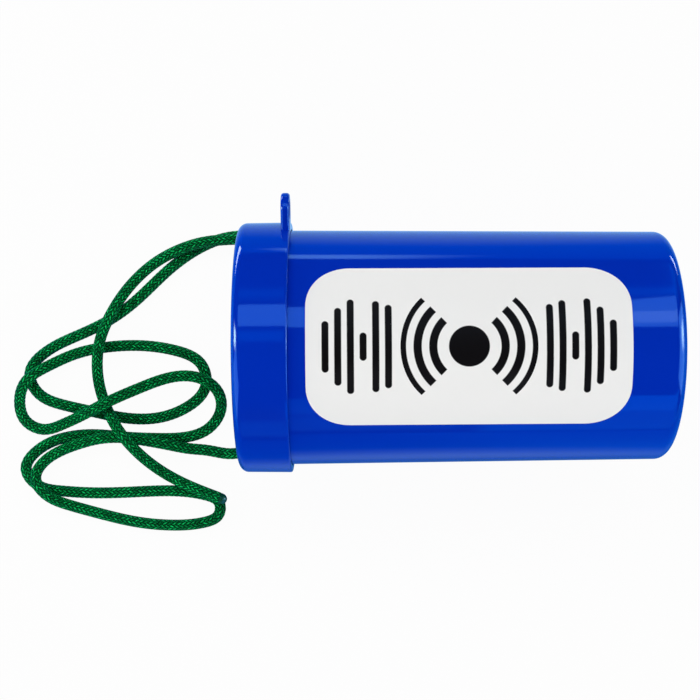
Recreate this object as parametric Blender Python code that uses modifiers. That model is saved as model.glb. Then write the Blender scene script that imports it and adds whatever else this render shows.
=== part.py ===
"""A mouth-blown membrane horn lying on its side, with its lanyard in loose loops.

Metres, +Z up. The horn's axis runs along X, with the cap at -X and the outlet at +X. Most shapes are
described in the horn's own frame: x from the cap's end, r from the horn's axis.
"""
import math

import bmesh
import bpy
import numpy as np
from mathutils import Matrix, Vector

# Overall
LENGTH = 0.1233
SEGMENTS = 64
GAP = 0.0003

# Casing
BODY_RIM_RADIUS = 0.0341
BODY_TAPER = 0.0010
BODY_WALL = 0.0018
BODY_END_WALL = 0.0022
BODY_END_FILLET = 0.0035
BODY_INNER_FILLET = 0.0020

# Cap
CAP_LENGTH = 0.0152
CAP_WALL = 0.00195
CAP_END_WALL = 0.0020
CAP_CLEARANCE = 0.0003
CAP_OPENING_RADIUS = 0.0240
CAP_EDGE_FILLET = 0.0026
CAP_RIM_FILLET = 0.0005
CAP_DRAFT = 0.00012

# Eyelets on the cap's open rim: one shows, one is under the horn and stops it rolling
EYELET_RADIUS = 0.0047
EYELET_HOLE_RADIUS = 0.0024
EYELET_THICKNESS = 0.0025
EYELET_HEIGHT = 0.00465
EYELET_ANGLE = math.radians(18.0)

# Film and what clamps it, from the cap inwards
GASKET_THICKNESS = 0.0012
GASKET_WIDTH = 0.0060
CLAMP_RING_THICKNESS = 0.0016
CLAMP_RING_WIDTH = 0.0055
FILM_THICKNESS = 0.00025

# Inner pipe
PIPE_MOUTH_RADIUS = 0.0120
PIPE_OUTLET_RADIUS = 0.0190
PIPE_WALL = 0.0015
PIPE_SHOULDER_WIDTH = 0.0030
PIPE_SHOULDER_THICKNESS = 0.0016
PIPE_CLEARANCE = 0.0003
SEAL_RING_THICKNESS = 0.0012

# Centring ring
CENTRING_X = 0.0700
CENTRING_THICKNESS = 0.0040
CENTRING_HUB_WALL = 0.0020
CENTRING_RIM_WALL = 0.0020
CENTRING_ARMS = 3
CENTRING_ARM_WIDTH = 0.0050

# Mouthpiece, opposite the label
MOUTH_X = 0.0300
MOUTH_LENGTH = 0.0200
MOUTH_WIDTH = 0.0110
MOUTH_WALL = 0.0016
MOUTH_PROUD = 0.0018
MOUTH_CLEARANCE = 0.0003
COLLAR_MARGIN = 0.0030
COLLAR_THICKNESS = 0.0016
MOUTH_GASKET_LEAST = 0.0008

# Label
LABEL_X = 0.0640
LABEL_LENGTH = 0.0880
LABEL_WIDTH = 0.0460
LABEL_CORNER = 0.0120
LABEL_THICKNESS = 0.0003

# Lanyard
CORD_DIAMETER = 0.0035
CORD_POINTS = 80
CORD_BEVEL_SEGMENTS = 2
CORD_BEND_SHARE = 0.020
END_SEAL_LENGTH = 0.0022
KNOT_LOBE = 0.0015
KNOT_LIFT = 0.00165
KNOT_STRAND_RADIUS = 0.0012
KNOT_POINTS = 36

# Route of the lanyard in millimetres: x from the cap's end, y from the horn's axis, z over the surface.
# It starts behind the hidden eyelet and ends at the free end that lies over the lower loop.
MM = 0.001
CORD_ROUTE = [
    (17.0, -26.1, 4.7), (13.6, -26.1, 4.7), (10.4, -26.4, 4.6), (7.2, -27.8, 4.2),
    (3.4, -30.4, 3.2), (-6.3, -33.6, 1.9), (-13.3, -32.5, 2.0), (-18.9, -31.8, 3.4),
    (-24.9, -30.5, 5.4), (-32.7, -29.0, 5.7), (-41.2, -28.0, 5.7), (-47.9, -28.5, 5.5),
    (-54.0, -30.1, 4.8), (-60.0, -32.4, 3.6), (-65.0, -35.8, 4.3), (-67.2, -40.5, 5.8),
    (-63.9, -45.9, 5.6), (-57.6, -49.3, 3.4), (-48.3, -52.2, 1.9), (-36.6, -55.0, 1.8),
    (-23.9, -56.2, 1.8), (-14.4, -55.3, 1.8), (-10.0, -52.9, 1.8), (-9.9, -49.0, 1.8), (-14.0, -46.7, 1.8),
    (-22.3, -45.4, 1.8), (-35.0, -45.5, 1.8), (-49.3, -45.8, 1.8), (-60.4, -45.1, 1.8),
    (-67.5, -43.2, 1.8), (-71.1, -38.0, 1.8), (-67.0, -31.9, 1.8), (-58.7, -28.2, 1.8),
    (-49.2, -27.3, 1.8), (-39.7, -28.1, 1.8), (-29.2, -28.6, 1.8), (-20.6, -28.3, 1.8),
    (-13.6, -25.9, 1.8), (-9.1, -19.6, 2.3), (-10.3, -13.0, 4.8), (-15.9, -9.3, 6.0),
    (-24.1, -9.1, 5.6), (-34.0, -12.4, 7.6), (-44.0, -16.8, 9.7), (-52.0, -20.8, 7.0),
    (-59.3, -24.0, 3.8), (-65.7, -25.5, 2.1), (-71.2, -22.6, 2.1), (-72.7, -16.4, 3.2),
    (-69.3, -9.3, 5.8), (-63.5, -5.4, 3.8), (-55.4, -1.7, 1.9), (-45.8, 0.4, 1.8),
    (-34.7, 0.9, 1.8), (-23.6, -0.7, 1.8), (-15.1, -5.4, 1.8), (-14.0, -12.3, 1.8),
    (-20.2, -18.9, 1.8), (-30.1, -22.2, 1.8), (-40.6, -21.9, 1.8), (-50.7, -19.8, 1.8),
    (-59.6, -17.7, 1.8), (-67.1, -14.0, 1.8), (-69.7, -7.7, 1.8), (-64.9, -1.2, 1.8),
    (-55.4, 3.8, 1.8), (-44.5, 9.0, 1.8), (-35.0, 16.0, 1.8), (-25.7, 24.7, 1.8),
    (-16.8, 31.1, 1.8), (-6.6, 35.1, 1.8), (9.0, 35.0, 1.8), (20.5, 33.6, 1.8),
    (27.5, 27.0, 1.8), (24.5, 19.6, 1.9), (16.0, 20.6, 2.4), (9.0, 27.5, 4.2),
    (2.5, 33.2, 5.7), (-6.2, 34.1, 5.8), (-14.1, 33.3, 5.7), (-22.9, 30.6, 4.5),
    (-31.4, 25.9, 2.2), (-38.6, 18.6, 3.1), (-43.4, 10.5, 5.8), (-46.3, 3.8, 6.0),
    (-47.7, -4.4, 5.3), (-47.0, -12.0, 5.0), (-44.1, -20.0, 5.9), (-38.7, -27.8, 9.6),
    (-32.3, -35.0, 6.8), (-25.2, -40.4, 4.2), (-16.8, -44.3, 5.5), (-9.4, -47.2, 5.6),
]

# Places that follow from the sizes above
GASKET_X = CAP_END_WALL + GAP
CLAMP_RING_X = GASKET_X + GASKET_THICKNESS + GAP
FILM_X = CLAMP_RING_X + CLAMP_RING_THICKNESS + GAP
RIM_X = FILM_X + FILM_THICKNESS + GAP
CAP_BORE_RADIUS = BODY_RIM_RADIUS + CAP_CLEARANCE
CAP_RADIUS = CAP_BORE_RADIUS + CAP_WALL
EYELET_CENTRE_RADIUS = CAP_RADIUS + EYELET_HEIGHT
HIDDEN_EYELET_ANGLE = math.pi + math.asin((CAP_RADIUS - EYELET_RADIUS) / EYELET_CENTRE_RADIUS)
EYELET_REACH = EYELET_CENTRE_RADIUS * math.cos(EYELET_ANGLE) + EYELET_RADIUS
HORN_ORIGIN = Vector((-LENGTH / 2, (CAP_RADIUS - EYELET_REACH) / 2, CAP_RADIUS))


def body_radius(x):
    """Outer radius of the tapered casing at x."""
    return BODY_RIM_RADIUS - BODY_TAPER * (x - RIM_X) / (LENGTH - RIM_X)


def pipe_bore_radius(x):
    """Inner radius of the flaring pipe at x."""
    return PIPE_MOUTH_RADIUS + (PIPE_OUTLET_RADIUS - PIPE_MOUTH_RADIUS) * (x - RIM_X) / (LENGTH - RIM_X)


def arc(cx, cr, radius, start, end, steps=5):
    """Points of a round edge about (cx, cr), angles in degrees from +x towards +r."""
    angles = [math.radians(start + (end - start) * i / steps) for i in range(steps + 1)]
    return [(cx + radius * math.cos(a), cr + radius * math.sin(a)) for a in angles]


def clear_scene():
    """Remove every object of the open scene."""
    for item in list(bpy.data.objects):
        bpy.data.objects.remove(item, do_unlink=True)


def new_collection(name):
    """A collection linked to the scene."""
    group = bpy.data.collections.new(name)
    bpy.context.scene.collection.children.link(group)
    return group


def plastic(name, colour, roughness, alpha=1.0):
    """A Principled material of one colour."""
    material = bpy.data.materials.new(name)
    material.use_nodes = True
    shader = material.node_tree.nodes["Principled BSDF"]
    shader.inputs["Base Color"].default_value = (*colour, 1.0)
    shader.inputs["Roughness"].default_value = roughness
    shader.inputs["Metallic"].default_value = 0.0
    shader.inputs["Alpha"].default_value = alpha
    return material


def place(name, data, group, material=None):
    """A new object of the horn's frame in a collection."""
    item = bpy.data.objects.new(name, data)
    group.objects.link(item)
    item.parent = HORN
    if material is not None:
        data.materials.append(material)
    return item


def mark_cutter(item):
    """Show a tool body as a wire only."""
    item.hide_render = True
    item.display_type = "WIRE"


def turned(name, profile, group, material=None, closed=True):
    """A body turned about the horn's axis from (x, r) points: outer side from high x to low x, then back."""
    mesh = bpy.data.meshes.new(name)
    edges = [(i, i + 1) for i in range(len(profile) - 1)]
    if closed:
        edges.append((len(profile) - 1, 0))
    mesh.from_pydata([(x, r, 0.0) for x, r in profile], edges, [])
    item = place(name, mesh, group, material)
    screw = item.modifiers.new("turn", "SCREW")
    screw.axis = "X"
    screw.steps = SEGMENTS
    screw.render_steps = SEGMENTS
    screw.use_merge_vertices = True
    screw.merge_threshold = 0.00001
    screw.use_smooth_shade = True
    return item


def boolean(item, tool, operation):
    """Cut, join or keep what is common with a tool body."""
    step = item.modifiers.new(operation.lower() + "_" + tool.name, "BOOLEAN")
    step.operation = operation
    step.object = tool
    step.solver = "EXACT"


def flat_plate(name, outlines, thickness, matrix, group, material=None):
    """A flat plate from closed outlines, the later ones holes, centred on its own z and put in place by matrix."""
    curve = bpy.data.curves.new(name, "CURVE")
    curve.dimensions = "2D"
    curve.fill_mode = "BOTH"
    curve.extrude = thickness / 2
    for outline in outlines:
        spline = curve.splines.new("POLY")
        spline.points.add(len(outline) - 1)
        for point, (x, y) in zip(spline.points, outline):
            point.co = (x, y, 0.0, 1.0)
        spline.use_cyclic_u = True
    return solid_from_curve(name, curve, matrix, group, material)


def solid_from_curve(name, curve, matrix, group, material=None):
    """The welded mesh of a curve, put in place by matrix."""
    guide = bpy.data.objects.new(name + "_curve", curve)
    bpy.context.scene.collection.objects.link(guide)
    graph = bpy.context.evaluated_depsgraph_get()
    graph.update()
    mesh = bpy.data.meshes.new_from_object(guide.evaluated_get(graph))
    bpy.data.objects.remove(guide, do_unlink=True)
    mesh.name = name
    work = bmesh.new()
    work.from_mesh(mesh)
    bmesh.ops.remove_doubles(work, verts=work.verts, dist=0.000005)
    bmesh.ops.recalc_face_normals(work, faces=work.faces)
    bmesh.ops.transform(work, matrix=matrix, verts=work.verts)
    work.to_mesh(mesh)
    work.free()
    mesh.materials.clear()
    return place(name, mesh, group, material)


def oval(length, width, steps=10):
    """A slot-shaped outline: two half circles joined by straight sides along x."""
    radius = width / 2
    centre = length / 2 - radius
    right = [(centre + radius * math.cos(a), radius * math.sin(a)) for a in half_turn(-90, steps)]
    left = [(-centre + radius * math.cos(a), radius * math.sin(a)) for a in half_turn(90, steps)]
    return right + left


def half_turn(start, steps):
    """Angles of half a circle from a start in degrees."""
    return [math.radians(start + 180 * i / steps) for i in range(steps + 1)]


def rounded_rectangle(length, width, corner, steps=6):
    """An outline with four round corners."""
    outline = []
    for sx, sy, start in ((1, 1, 0), (-1, 1, 90), (-1, -1, 180), (1, -1, 270)):
        cx, cy = sx * (length / 2 - corner), sy * (width / 2 - corner)
        for i in range(steps + 1):
            a = math.radians(start + 90 * i / steps)
            outline.append((cx + corner * math.cos(a), cy + corner * math.sin(a)))
    return outline


def circle(radius, steps=32):
    """A round outline."""
    return [(radius * math.cos(2 * math.pi * i / steps), radius * math.sin(2 * math.pi * i / steps))
            for i in range(steps)]


def eyelet_outline():
    """A tab with a round end: its foot stands in the cap's wall, y points away from the axis."""
    foot = CAP_BORE_RADIUS + CAP_WALL / 3 - EYELET_CENTRE_RADIUS
    top = [(EYELET_RADIUS * math.cos(a), EYELET_RADIUS * math.sin(a)) for a in half_turn(0, 16)]
    return [(EYELET_RADIUS, foot)] + top + [(-EYELET_RADIUS, foot)]


def eyelet(name, angle):
    """An eyelet at the cap's open rim, at an angle from +Y towards +Z."""
    outward = Vector((0.0, math.cos(angle), math.sin(angle)))
    axis = Vector((1.0, 0.0, 0.0))
    across = outward.cross(axis)
    centre = outward * EYELET_CENTRE_RADIUS + axis * (CAP_LENGTH - EYELET_THICKNESS / 2)
    matrix = Matrix.Translation(centre) @ Matrix((across, outward, axis)).transposed().to_4x4()
    item = flat_plate(name, [eyelet_outline()], EYELET_THICKNESS, matrix, CUTTERS)
    hole = flat_plate(name + "_hole", [circle(EYELET_HOLE_RADIUS)], EYELET_THICKNESS * 2, matrix, CUTTERS)
    mark_cutter(item)
    mark_cutter(hole)
    return item, hole


def build_casing():
    """Tapered casing, open at the rim, with a round outlet edge and the slot for the mouthpiece."""
    hole_radius = PIPE_OUTLET_RADIUS + PIPE_WALL + PIPE_CLEARANCE
    end_radius = body_radius(LENGTH - BODY_END_FILLET)
    inner_end = LENGTH - BODY_END_WALL
    inner_radius = body_radius(inner_end) - BODY_WALL
    profile = [(LENGTH, hole_radius)]
    profile += arc(LENGTH - BODY_END_FILLET, end_radius - BODY_END_FILLET, BODY_END_FILLET, 0, 90, 6)
    profile += [(RIM_X, BODY_RIM_RADIUS), (RIM_X, BODY_RIM_RADIUS - BODY_WALL)]
    profile += arc(inner_end - BODY_INNER_FILLET, inner_radius - BODY_INNER_FILLET, BODY_INNER_FILLET, 90, 0, 4)
    profile += [(inner_end, hole_radius)]
    casing = turned("body_shell", profile, HORN_PARTS, BLUE)
    slot = oval(MOUTH_LENGTH + 2 * MOUTH_CLEARANCE, MOUTH_WIDTH + 2 * MOUTH_CLEARANCE)
    place_down = Matrix.Translation((MOUTH_X, 0.0, -BODY_RIM_RADIUS))
    cutter = flat_plate("mouth_slot", [slot], BODY_RIM_RADIUS, place_down, CUTTERS)
    mark_cutter(cutter)
    boolean(casing, cutter, "DIFFERENCE")


def build_cap():
    """Push-on cap with a wide opening in its end wall and two eyelets at its open rim."""
    end_radius = CAP_RADIUS - CAP_DRAFT
    profile = [(CAP_LENGTH, CAP_BORE_RADIUS)]
    profile += arc(CAP_LENGTH - CAP_RIM_FILLET, CAP_RADIUS - CAP_RIM_FILLET, CAP_RIM_FILLET, 0, 90, 3)
    profile += arc(CAP_EDGE_FILLET, end_radius - CAP_EDGE_FILLET, CAP_EDGE_FILLET, 90, 180, 6)
    profile += [(0.0, CAP_OPENING_RADIUS), (CAP_END_WALL, CAP_OPENING_RADIUS), (CAP_END_WALL, CAP_BORE_RADIUS)]
    cap = turned("cap", profile, HORN_PARTS, BLUE)
    tabs = [eyelet("eyelet_tab", EYELET_ANGLE), eyelet("hidden_eyelet_tab", HIDDEN_EYELET_ANGLE)]
    for tab, _ in tabs:
        boolean(cap, tab, "UNION")
    for _, hole in tabs:
        boolean(cap, hole, "DIFFERENCE")


def ring(name, x, thickness, inner, outer, material):
    """A flat turned ring."""
    profile = [(x + thickness, inner), (x + thickness, outer), (x, outer), (x, inner)]
    return turned(name, profile, HORN_PARTS, material)


def build_film_stack():
    """Gasket, clamp ring and film between the cap's end wall and the casing's rim."""
    outer = BODY_RIM_RADIUS - CAP_CLEARANCE
    ring("cap_gasket", GASKET_X, GASKET_THICKNESS, outer - GASKET_WIDTH, outer, RUBBER)
    ring("diaphragm_clamp_ring", CLAMP_RING_X, CLAMP_RING_THICKNESS, outer - CLAMP_RING_WIDTH, outer, WHITE)
    profile = [(FILM_X + FILM_THICKNESS, 0.0), (FILM_X + FILM_THICKNESS, outer), (FILM_X, outer), (FILM_X, 0.0)]
    turned("diaphragm", profile, HORN_PARTS, FILM, closed=False)


def build_pipe():
    """Flaring pipe from the film to the outlet, its shoulder and seal against the end wall."""
    shoulder_end = LENGTH - BODY_END_WALL - 2 * GAP - SEAL_RING_THICKNESS
    shoulder_start = shoulder_end - PIPE_SHOULDER_THICKNESS
    end_outer = PIPE_OUTLET_RADIUS + PIPE_WALL
    shoulder_radius = end_outer + PIPE_SHOULDER_WIDTH
    profile = [(LENGTH, PIPE_OUTLET_RADIUS), (LENGTH, end_outer), (shoulder_end, end_outer),
               (shoulder_end, shoulder_radius), (shoulder_start, shoulder_radius),
               (shoulder_start, pipe_bore_radius(shoulder_start) + PIPE_WALL),
               (RIM_X, PIPE_MOUTH_RADIUS + PIPE_WALL), (RIM_X, PIPE_MOUTH_RADIUS)]
    turned("horn_pipe", profile, HORN_PARTS, BLACK)
    ring("outlet_seal_ring", shoulder_end + GAP, SEAL_RING_THICKNESS, end_outer + PIPE_CLEARANCE, shoulder_radius,
         RUBBER)


def build_centring_ring():
    """Hub, rim and arms that hold the pipe in the middle of the casing."""
    far = CENTRING_X + CENTRING_THICKNESS
    bore = pipe_bore_radius(far) + PIPE_WALL + PIPE_CLEARANCE
    rim = body_radius(far) - BODY_WALL - GAP
    hub_outer = bore + CENTRING_HUB_WALL
    rim_inner = rim - CENTRING_RIM_WALL
    item = ring("pipe_centring_ring", CENTRING_X, CENTRING_THICKNESS, bore, rim, BLACK)
    for arm in range(CENTRING_ARMS):
        start = 2 * math.pi * arm / CENTRING_ARMS
        end = 2 * math.pi * (arm + 1) / CENTRING_ARMS
        outline = window_outline(hub_outer, rim_inner, start, end)
        upright = Matrix((Vector((0, 0, 1)), Vector((0, 1, 0)), Vector((-1, 0, 0)))).to_4x4()
        matrix = Matrix.Translation((CENTRING_X + CENTRING_THICKNESS / 2, 0, 0)) @ upright.transposed()
        window = flat_plate(f"centring_window_{arm + 1}", [outline], CENTRING_THICKNESS * 2, matrix, CUTTERS)
        mark_cutter(window)
        boolean(item, window, "DIFFERENCE")


def window_outline(inner, outer, start, end, steps=10):
    """A window between two arms: an arc outside, an arc inside, and sides parallel to the arms."""
    outside = [offset_angle(outer, start, end, i, steps) for i in range(steps + 1)]
    inside = [offset_angle(inner, start, end, steps - i, steps) for i in range(steps + 1)]
    return [(outer * math.cos(a), outer * math.sin(a)) for a in outside] + \
           [(inner * math.cos(a), inner * math.sin(a)) for a in inside]


def offset_angle(radius, start, end, i, steps):
    """The angle of step i of an arc that keeps half an arm's width from both arms."""
    margin = math.asin(CENTRING_ARM_WIDTH / 2 / radius)
    return start + margin + (end - start - 2 * margin) * i / steps


def build_mouthpiece():
    """Oval nozzle through the casing with a collar inside, and the gasket behind the collar."""
    tip = body_radius(MOUTH_X) + MOUTH_PROUD
    wall_inner = body_radius(MOUTH_X + MOUTH_LENGTH / 2) - BODY_WALL
    collar_length = MOUTH_LENGTH + 2 * COLLAR_MARGIN
    collar_width = MOUTH_WIDTH + 2 * COLLAR_MARGIN
    edge = math.sqrt(wall_inner**2 - (collar_width / 2)**2)
    collar_face = edge - 2 * GAP - MOUTH_GASKET_LEAST
    collar_back = collar_face - COLLAR_THICKNESS
    tube = flat_plate("mouthpiece", [oval(MOUTH_LENGTH, MOUTH_WIDTH)], tip - collar_back,
                      Matrix.Translation((MOUTH_X, 0, -(tip + collar_back) / 2)), HORN_PARTS, BLUE)
    collar = flat_plate("mouth_collar", [oval(collar_length, collar_width)], COLLAR_THICKNESS,
                        Matrix.Translation((MOUTH_X, 0, -(collar_face + collar_back) / 2)), CUTTERS)
    bore = flat_plate("mouth_bore", [oval(MOUTH_LENGTH - 2 * MOUTH_WALL, MOUTH_WIDTH - 2 * MOUTH_WALL)],
                      2 * tip, Matrix.Translation((MOUTH_X, 0, -tip)), CUTTERS)
    mark_cutter(collar)
    mark_cutter(bore)
    boolean(tube, collar, "UNION")
    boolean(tube, bore, "DIFFERENCE")
    build_mouth_gasket(collar_face + GAP, collar_length, collar_width)


def build_mouth_gasket(inner_face, length, width):
    """A seal with a flat inner face and an outer face that follows the casing's wall."""
    outer_face = BODY_RIM_RADIUS
    slot = oval(MOUTH_LENGTH + 2 * MOUTH_CLEARANCE, MOUTH_WIDTH + 2 * MOUTH_CLEARANCE)
    gasket = flat_plate("mouthpiece_gasket", [oval(length, width), slot], outer_face - inner_face,
                        Matrix.Translation((MOUTH_X, 0, -(outer_face + inner_face) / 2)), HORN_PARTS, RUBBER)
    low, high = MOUTH_X - length, MOUTH_X + length
    inside = BODY_WALL + GAP
    profile = [(high, 0.0), (high, body_radius(high) - inside), (low, body_radius(low) - inside), (low, 0.0)]
    wall = turned("casing_inside", profile, CUTTERS, closed=False)
    mark_cutter(wall)
    boolean(gasket, wall, "INTERSECT")


def build_label():
    """A thin sticker with round corners, bent round the casing's upper side."""
    low, high = LABEL_X - LABEL_LENGTH, LABEL_X + LABEL_LENGTH
    inner, outer = GAP, GAP + LABEL_THICKNESS
    profile = [(high, body_radius(high) + inner), (high, body_radius(high) + outer),
               (low, body_radius(low) + outer), (low, body_radius(low) + inner)]
    label = turned("label_sticker", profile, HORN_PARTS, WHITE)
    half_angle = LABEL_WIDTH / 2 / BODY_RIM_RADIUS
    across = 2 * BODY_RIM_RADIUS * math.sin(half_angle)
    outline = rounded_rectangle(LABEL_LENGTH, across, LABEL_CORNER)
    stamp = flat_plate("label_stamp", [outline], BODY_RIM_RADIUS,
                       Matrix.Translation((LABEL_X, 0, BODY_RIM_RADIUS)), CUTTERS)
    mark_cutter(stamp)
    boolean(label, stamp, "INTERSECT")


def smooth_curve(points, count):
    """A natural cubic spline through the points, read at steps that get shorter where it bends."""
    p = np.array(points, float)
    t = np.concatenate([[0.0], np.cumsum(np.linalg.norm(np.diff(p, axis=0), axis=1))])
    h = np.diff(t)
    size = len(p)
    system = np.zeros((size, size))
    right = np.zeros((size, 3))
    system[0, 0] = system[-1, -1] = 1.0
    i = np.arange(1, size - 1)
    system[i, i - 1] = h[:-1]
    system[i, i] = 2 * (h[:-1] + h[1:])
    system[i, i + 1] = h[1:]
    right[1:-1] = 6 * ((p[2:] - p[1:-1]) / h[1:, None] - (p[1:-1] - p[:-2]) / h[:-1, None])
    bend = np.linalg.solve(system, right)
    s = np.linspace(0.0, t[-1], 50 * size)
    k = np.clip(np.searchsorted(t, s, side="right") - 1, 0, size - 2)
    after, before, span = (t[k + 1] - s)[:, None], (s - t[k])[:, None], h[k][:, None]
    fine = (bend[k] * after**3 + bend[k + 1] * before**3) / (6 * span) \
        + (p[k] / span - bend[k] * span / 6) * after + (p[k + 1] / span - bend[k + 1] * span / 6) * before
    steps = np.diff(fine, axis=0)
    lengths = np.linalg.norm(steps, axis=1)
    along = steps / lengths[:, None]
    turns = np.concatenate([[0.0], np.linalg.norm(np.diff(along, axis=0), axis=1)])
    measure = np.concatenate([[0.0], np.cumsum(lengths + CORD_BEND_SHARE * turns)])
    even = np.linspace(0.0, measure[-1], count)
    return np.stack([np.interp(even, measure, fine[:, j]) for j in range(3)], axis=1)


def tube(name, points, radius, material, cyclic=False):
    """A round tube along points of the horn's frame."""
    curve = bpy.data.curves.new(name, "CURVE")
    curve.dimensions = "3D"
    curve.bevel_depth = radius
    curve.bevel_resolution = CORD_BEVEL_SEGMENTS
    curve.use_fill_caps = not cyclic
    spline = curve.splines.new("POLY")
    spline.points.add(len(points) - 1)
    for point, co in zip(spline.points, points):
        point.co = (*co, 1.0)
    spline.use_cyclic_u = cyclic
    return solid_from_curve(name, curve, Matrix.Identity(4), HORN_PARTS, material)


def build_lanyard():
    """The cord, its stopper knot behind the hidden eyelet, and its melted free end."""
    to_horn = np.array([0.0, 0.0, -CAP_RADIUS])
    points = smooth_curve(np.array(CORD_ROUTE) * MM + to_horn, CORD_POINTS)
    tube("lanyard_cord", points, CORD_DIAMETER / 2, GREEN)
    turn = np.linspace(0.0, 2 * math.pi, KNOT_POINTS, endpoint=False)
    knot = np.stack([KNOT_LOBE * (np.sin(turn) + 2 * np.sin(2 * turn)),
                     KNOT_LOBE * (np.cos(turn) - 2 * np.cos(2 * turn)),
                     -KNOT_LIFT * np.sin(3 * turn)], axis=1)
    reach = 3 * KNOT_LOBE + KNOT_STRAND_RADIUS + GAP
    knot += points[0] + np.array([reach, 0.0, 0.0])
    tube("lanyard_stopper_knot", knot, KNOT_STRAND_RADIUS, GREEN, cyclic=True)
    along = points[-1] - points[-2]
    along /= np.linalg.norm(along)
    seal = [points[-1] + along * GAP, points[-1] + along * (GAP + END_SEAL_LENGTH / 2),
            points[-1] + along * (GAP + END_SEAL_LENGTH)]
    tube("lanyard_end_seal", seal, CORD_DIAMETER / 2, DARK_GREEN)


clear_scene()
HORN_PARTS = new_collection("membrane_horn")
CUTTERS = new_collection("cutters")
HORN = bpy.data.objects.new("horn_axis", None)
HORN_PARTS.objects.link(HORN)
HORN.location = HORN_ORIGIN
BLUE = plastic("blue_plastic", (0.0, 0.023, 0.448), 0.12)
WHITE = plastic("white_plastic", (0.85, 0.85, 0.85), 0.35)
BLACK = plastic("black_plastic", (0.02, 0.02, 0.022), 0.3)
RUBBER = plastic("grey_rubber", (0.08, 0.08, 0.085), 0.7)
FILM = plastic("clear_film", (0.8, 0.82, 0.85), 0.1, 0.5)
GREEN = plastic("green_cord", (0.0, 0.14, 0.03), 0.8)
DARK_GREEN = plastic("melted_cord", (0.0, 0.06, 0.02), 0.4)
build_casing()
build_cap()
build_film_stack()
build_pipe()
build_centring_ring()
build_mouthpiece()
build_label()
build_lanyard()
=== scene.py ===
"""A mouth-blown membrane horn lying on its side, with its braided lanyard in loose loops beside it.

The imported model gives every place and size. Each new piece is a surface worked out on a grid with numpy,
in metres. The horn's own frame is used for most shapes: x from the cap's end, r from the horn's axis.
"""
import logging
import math
from dataclasses import dataclass, field
from enum import Enum

import bmesh
import bpy
import numpy as np
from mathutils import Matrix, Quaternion, Vector


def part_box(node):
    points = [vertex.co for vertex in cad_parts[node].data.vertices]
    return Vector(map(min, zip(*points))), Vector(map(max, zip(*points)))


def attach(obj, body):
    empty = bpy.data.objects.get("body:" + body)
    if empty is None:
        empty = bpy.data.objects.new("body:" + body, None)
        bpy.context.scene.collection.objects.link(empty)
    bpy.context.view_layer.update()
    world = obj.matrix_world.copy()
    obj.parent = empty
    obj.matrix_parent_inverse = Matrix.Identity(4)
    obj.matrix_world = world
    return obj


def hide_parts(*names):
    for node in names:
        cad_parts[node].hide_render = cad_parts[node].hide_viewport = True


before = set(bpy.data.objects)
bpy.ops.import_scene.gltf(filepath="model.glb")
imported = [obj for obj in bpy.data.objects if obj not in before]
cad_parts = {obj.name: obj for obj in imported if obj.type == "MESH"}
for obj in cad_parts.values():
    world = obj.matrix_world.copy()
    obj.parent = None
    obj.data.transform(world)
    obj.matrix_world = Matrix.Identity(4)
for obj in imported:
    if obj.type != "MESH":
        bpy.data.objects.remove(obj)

LOG = logging.getLogger("membrane_horn")
MM = 0.001
HORN_BODY = "horn"
CAP_BODY = "cap_with_lanyard"


class Slot(Enum):
    """The record's material slots."""

    BLUE = "blue_plastic"
    BLACK = "black_plastic"
    WHITE = "white_plastic"
    RUBBER = "grey_rubber"
    FILM = "clear_film"
    VINYL = "white_vinyl"
    CORD = "green_cord"
    MELTED = "melted_cord"


class Turn(Enum):
    """Which way round a turned outline is closed."""

    RING = "ring"
    DISC = "disc"


@dataclass(frozen=True)
class HornFrame:
    """Where the horn's axis lies in the row frame.

    Attributes:
        start: x of the cap's end.
        y: the axis's y.
        z: the axis's height over the floor.
    """

    start: float
    y: float
    z: float

    @classmethod
    def from_nodes(cls) -> "HornFrame":
        """The frame read from the boxes of the pipe and the cap."""
        low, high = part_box("horn_pipe")
        return cls(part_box("cap")[0][0], (low[1] + high[1]) / 2, (low[2] + high[2]) / 2)

    def place(self, x: np.ndarray, radius: np.ndarray, angle: np.ndarray) -> np.ndarray:
        """Points at x, radius and angle, where the angle runs from straight up towards +Y."""
        return np.stack(
            np.broadcast_arrays(
                self.start + x, self.y + radius * np.sin(angle), self.z + radius * np.cos(angle)
            ),
            axis=-1,
        )

    def radius_of(self, node: str) -> float:
        """Largest radius of a round node."""
        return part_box(node)[1][2] - self.z


# ---- surfaces


def arc(centre_x: float, centre_r: float, radius: float, start: float, end: float, steps: int = 12) -> np.ndarray:
    """A round edge: (x, r) points on a circle about a centre, from one angle in degrees to another."""
    angle = np.radians(np.linspace(start, end, steps + 1))
    return np.stack([centre_x + radius * np.cos(angle), centre_r + radius * np.sin(angle)], axis=1)


def straight(start: tuple[float, float], end: tuple[float, float], edge: float = 0.0004) -> np.ndarray:
    """A straight stretch of an outline with a support point near each end, which keeps its shading flat."""
    a, b = np.array(start, float), np.array(end, float)
    length = float(np.linalg.norm(b - a))
    share = min(edge / max(length, 1e-9), 0.3)
    return a + (b - a) * np.array([0.0, share, 1.0 - share, 1.0])[:, None]


def outline(*stretches: np.ndarray) -> np.ndarray:
    """Stretches joined to one outline, without doubled points."""
    points = np.concatenate(stretches)
    keep = np.concatenate([[True], np.linalg.norm(np.diff(points, axis=0), axis=1) > 1e-7])
    return points[keep]


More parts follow.
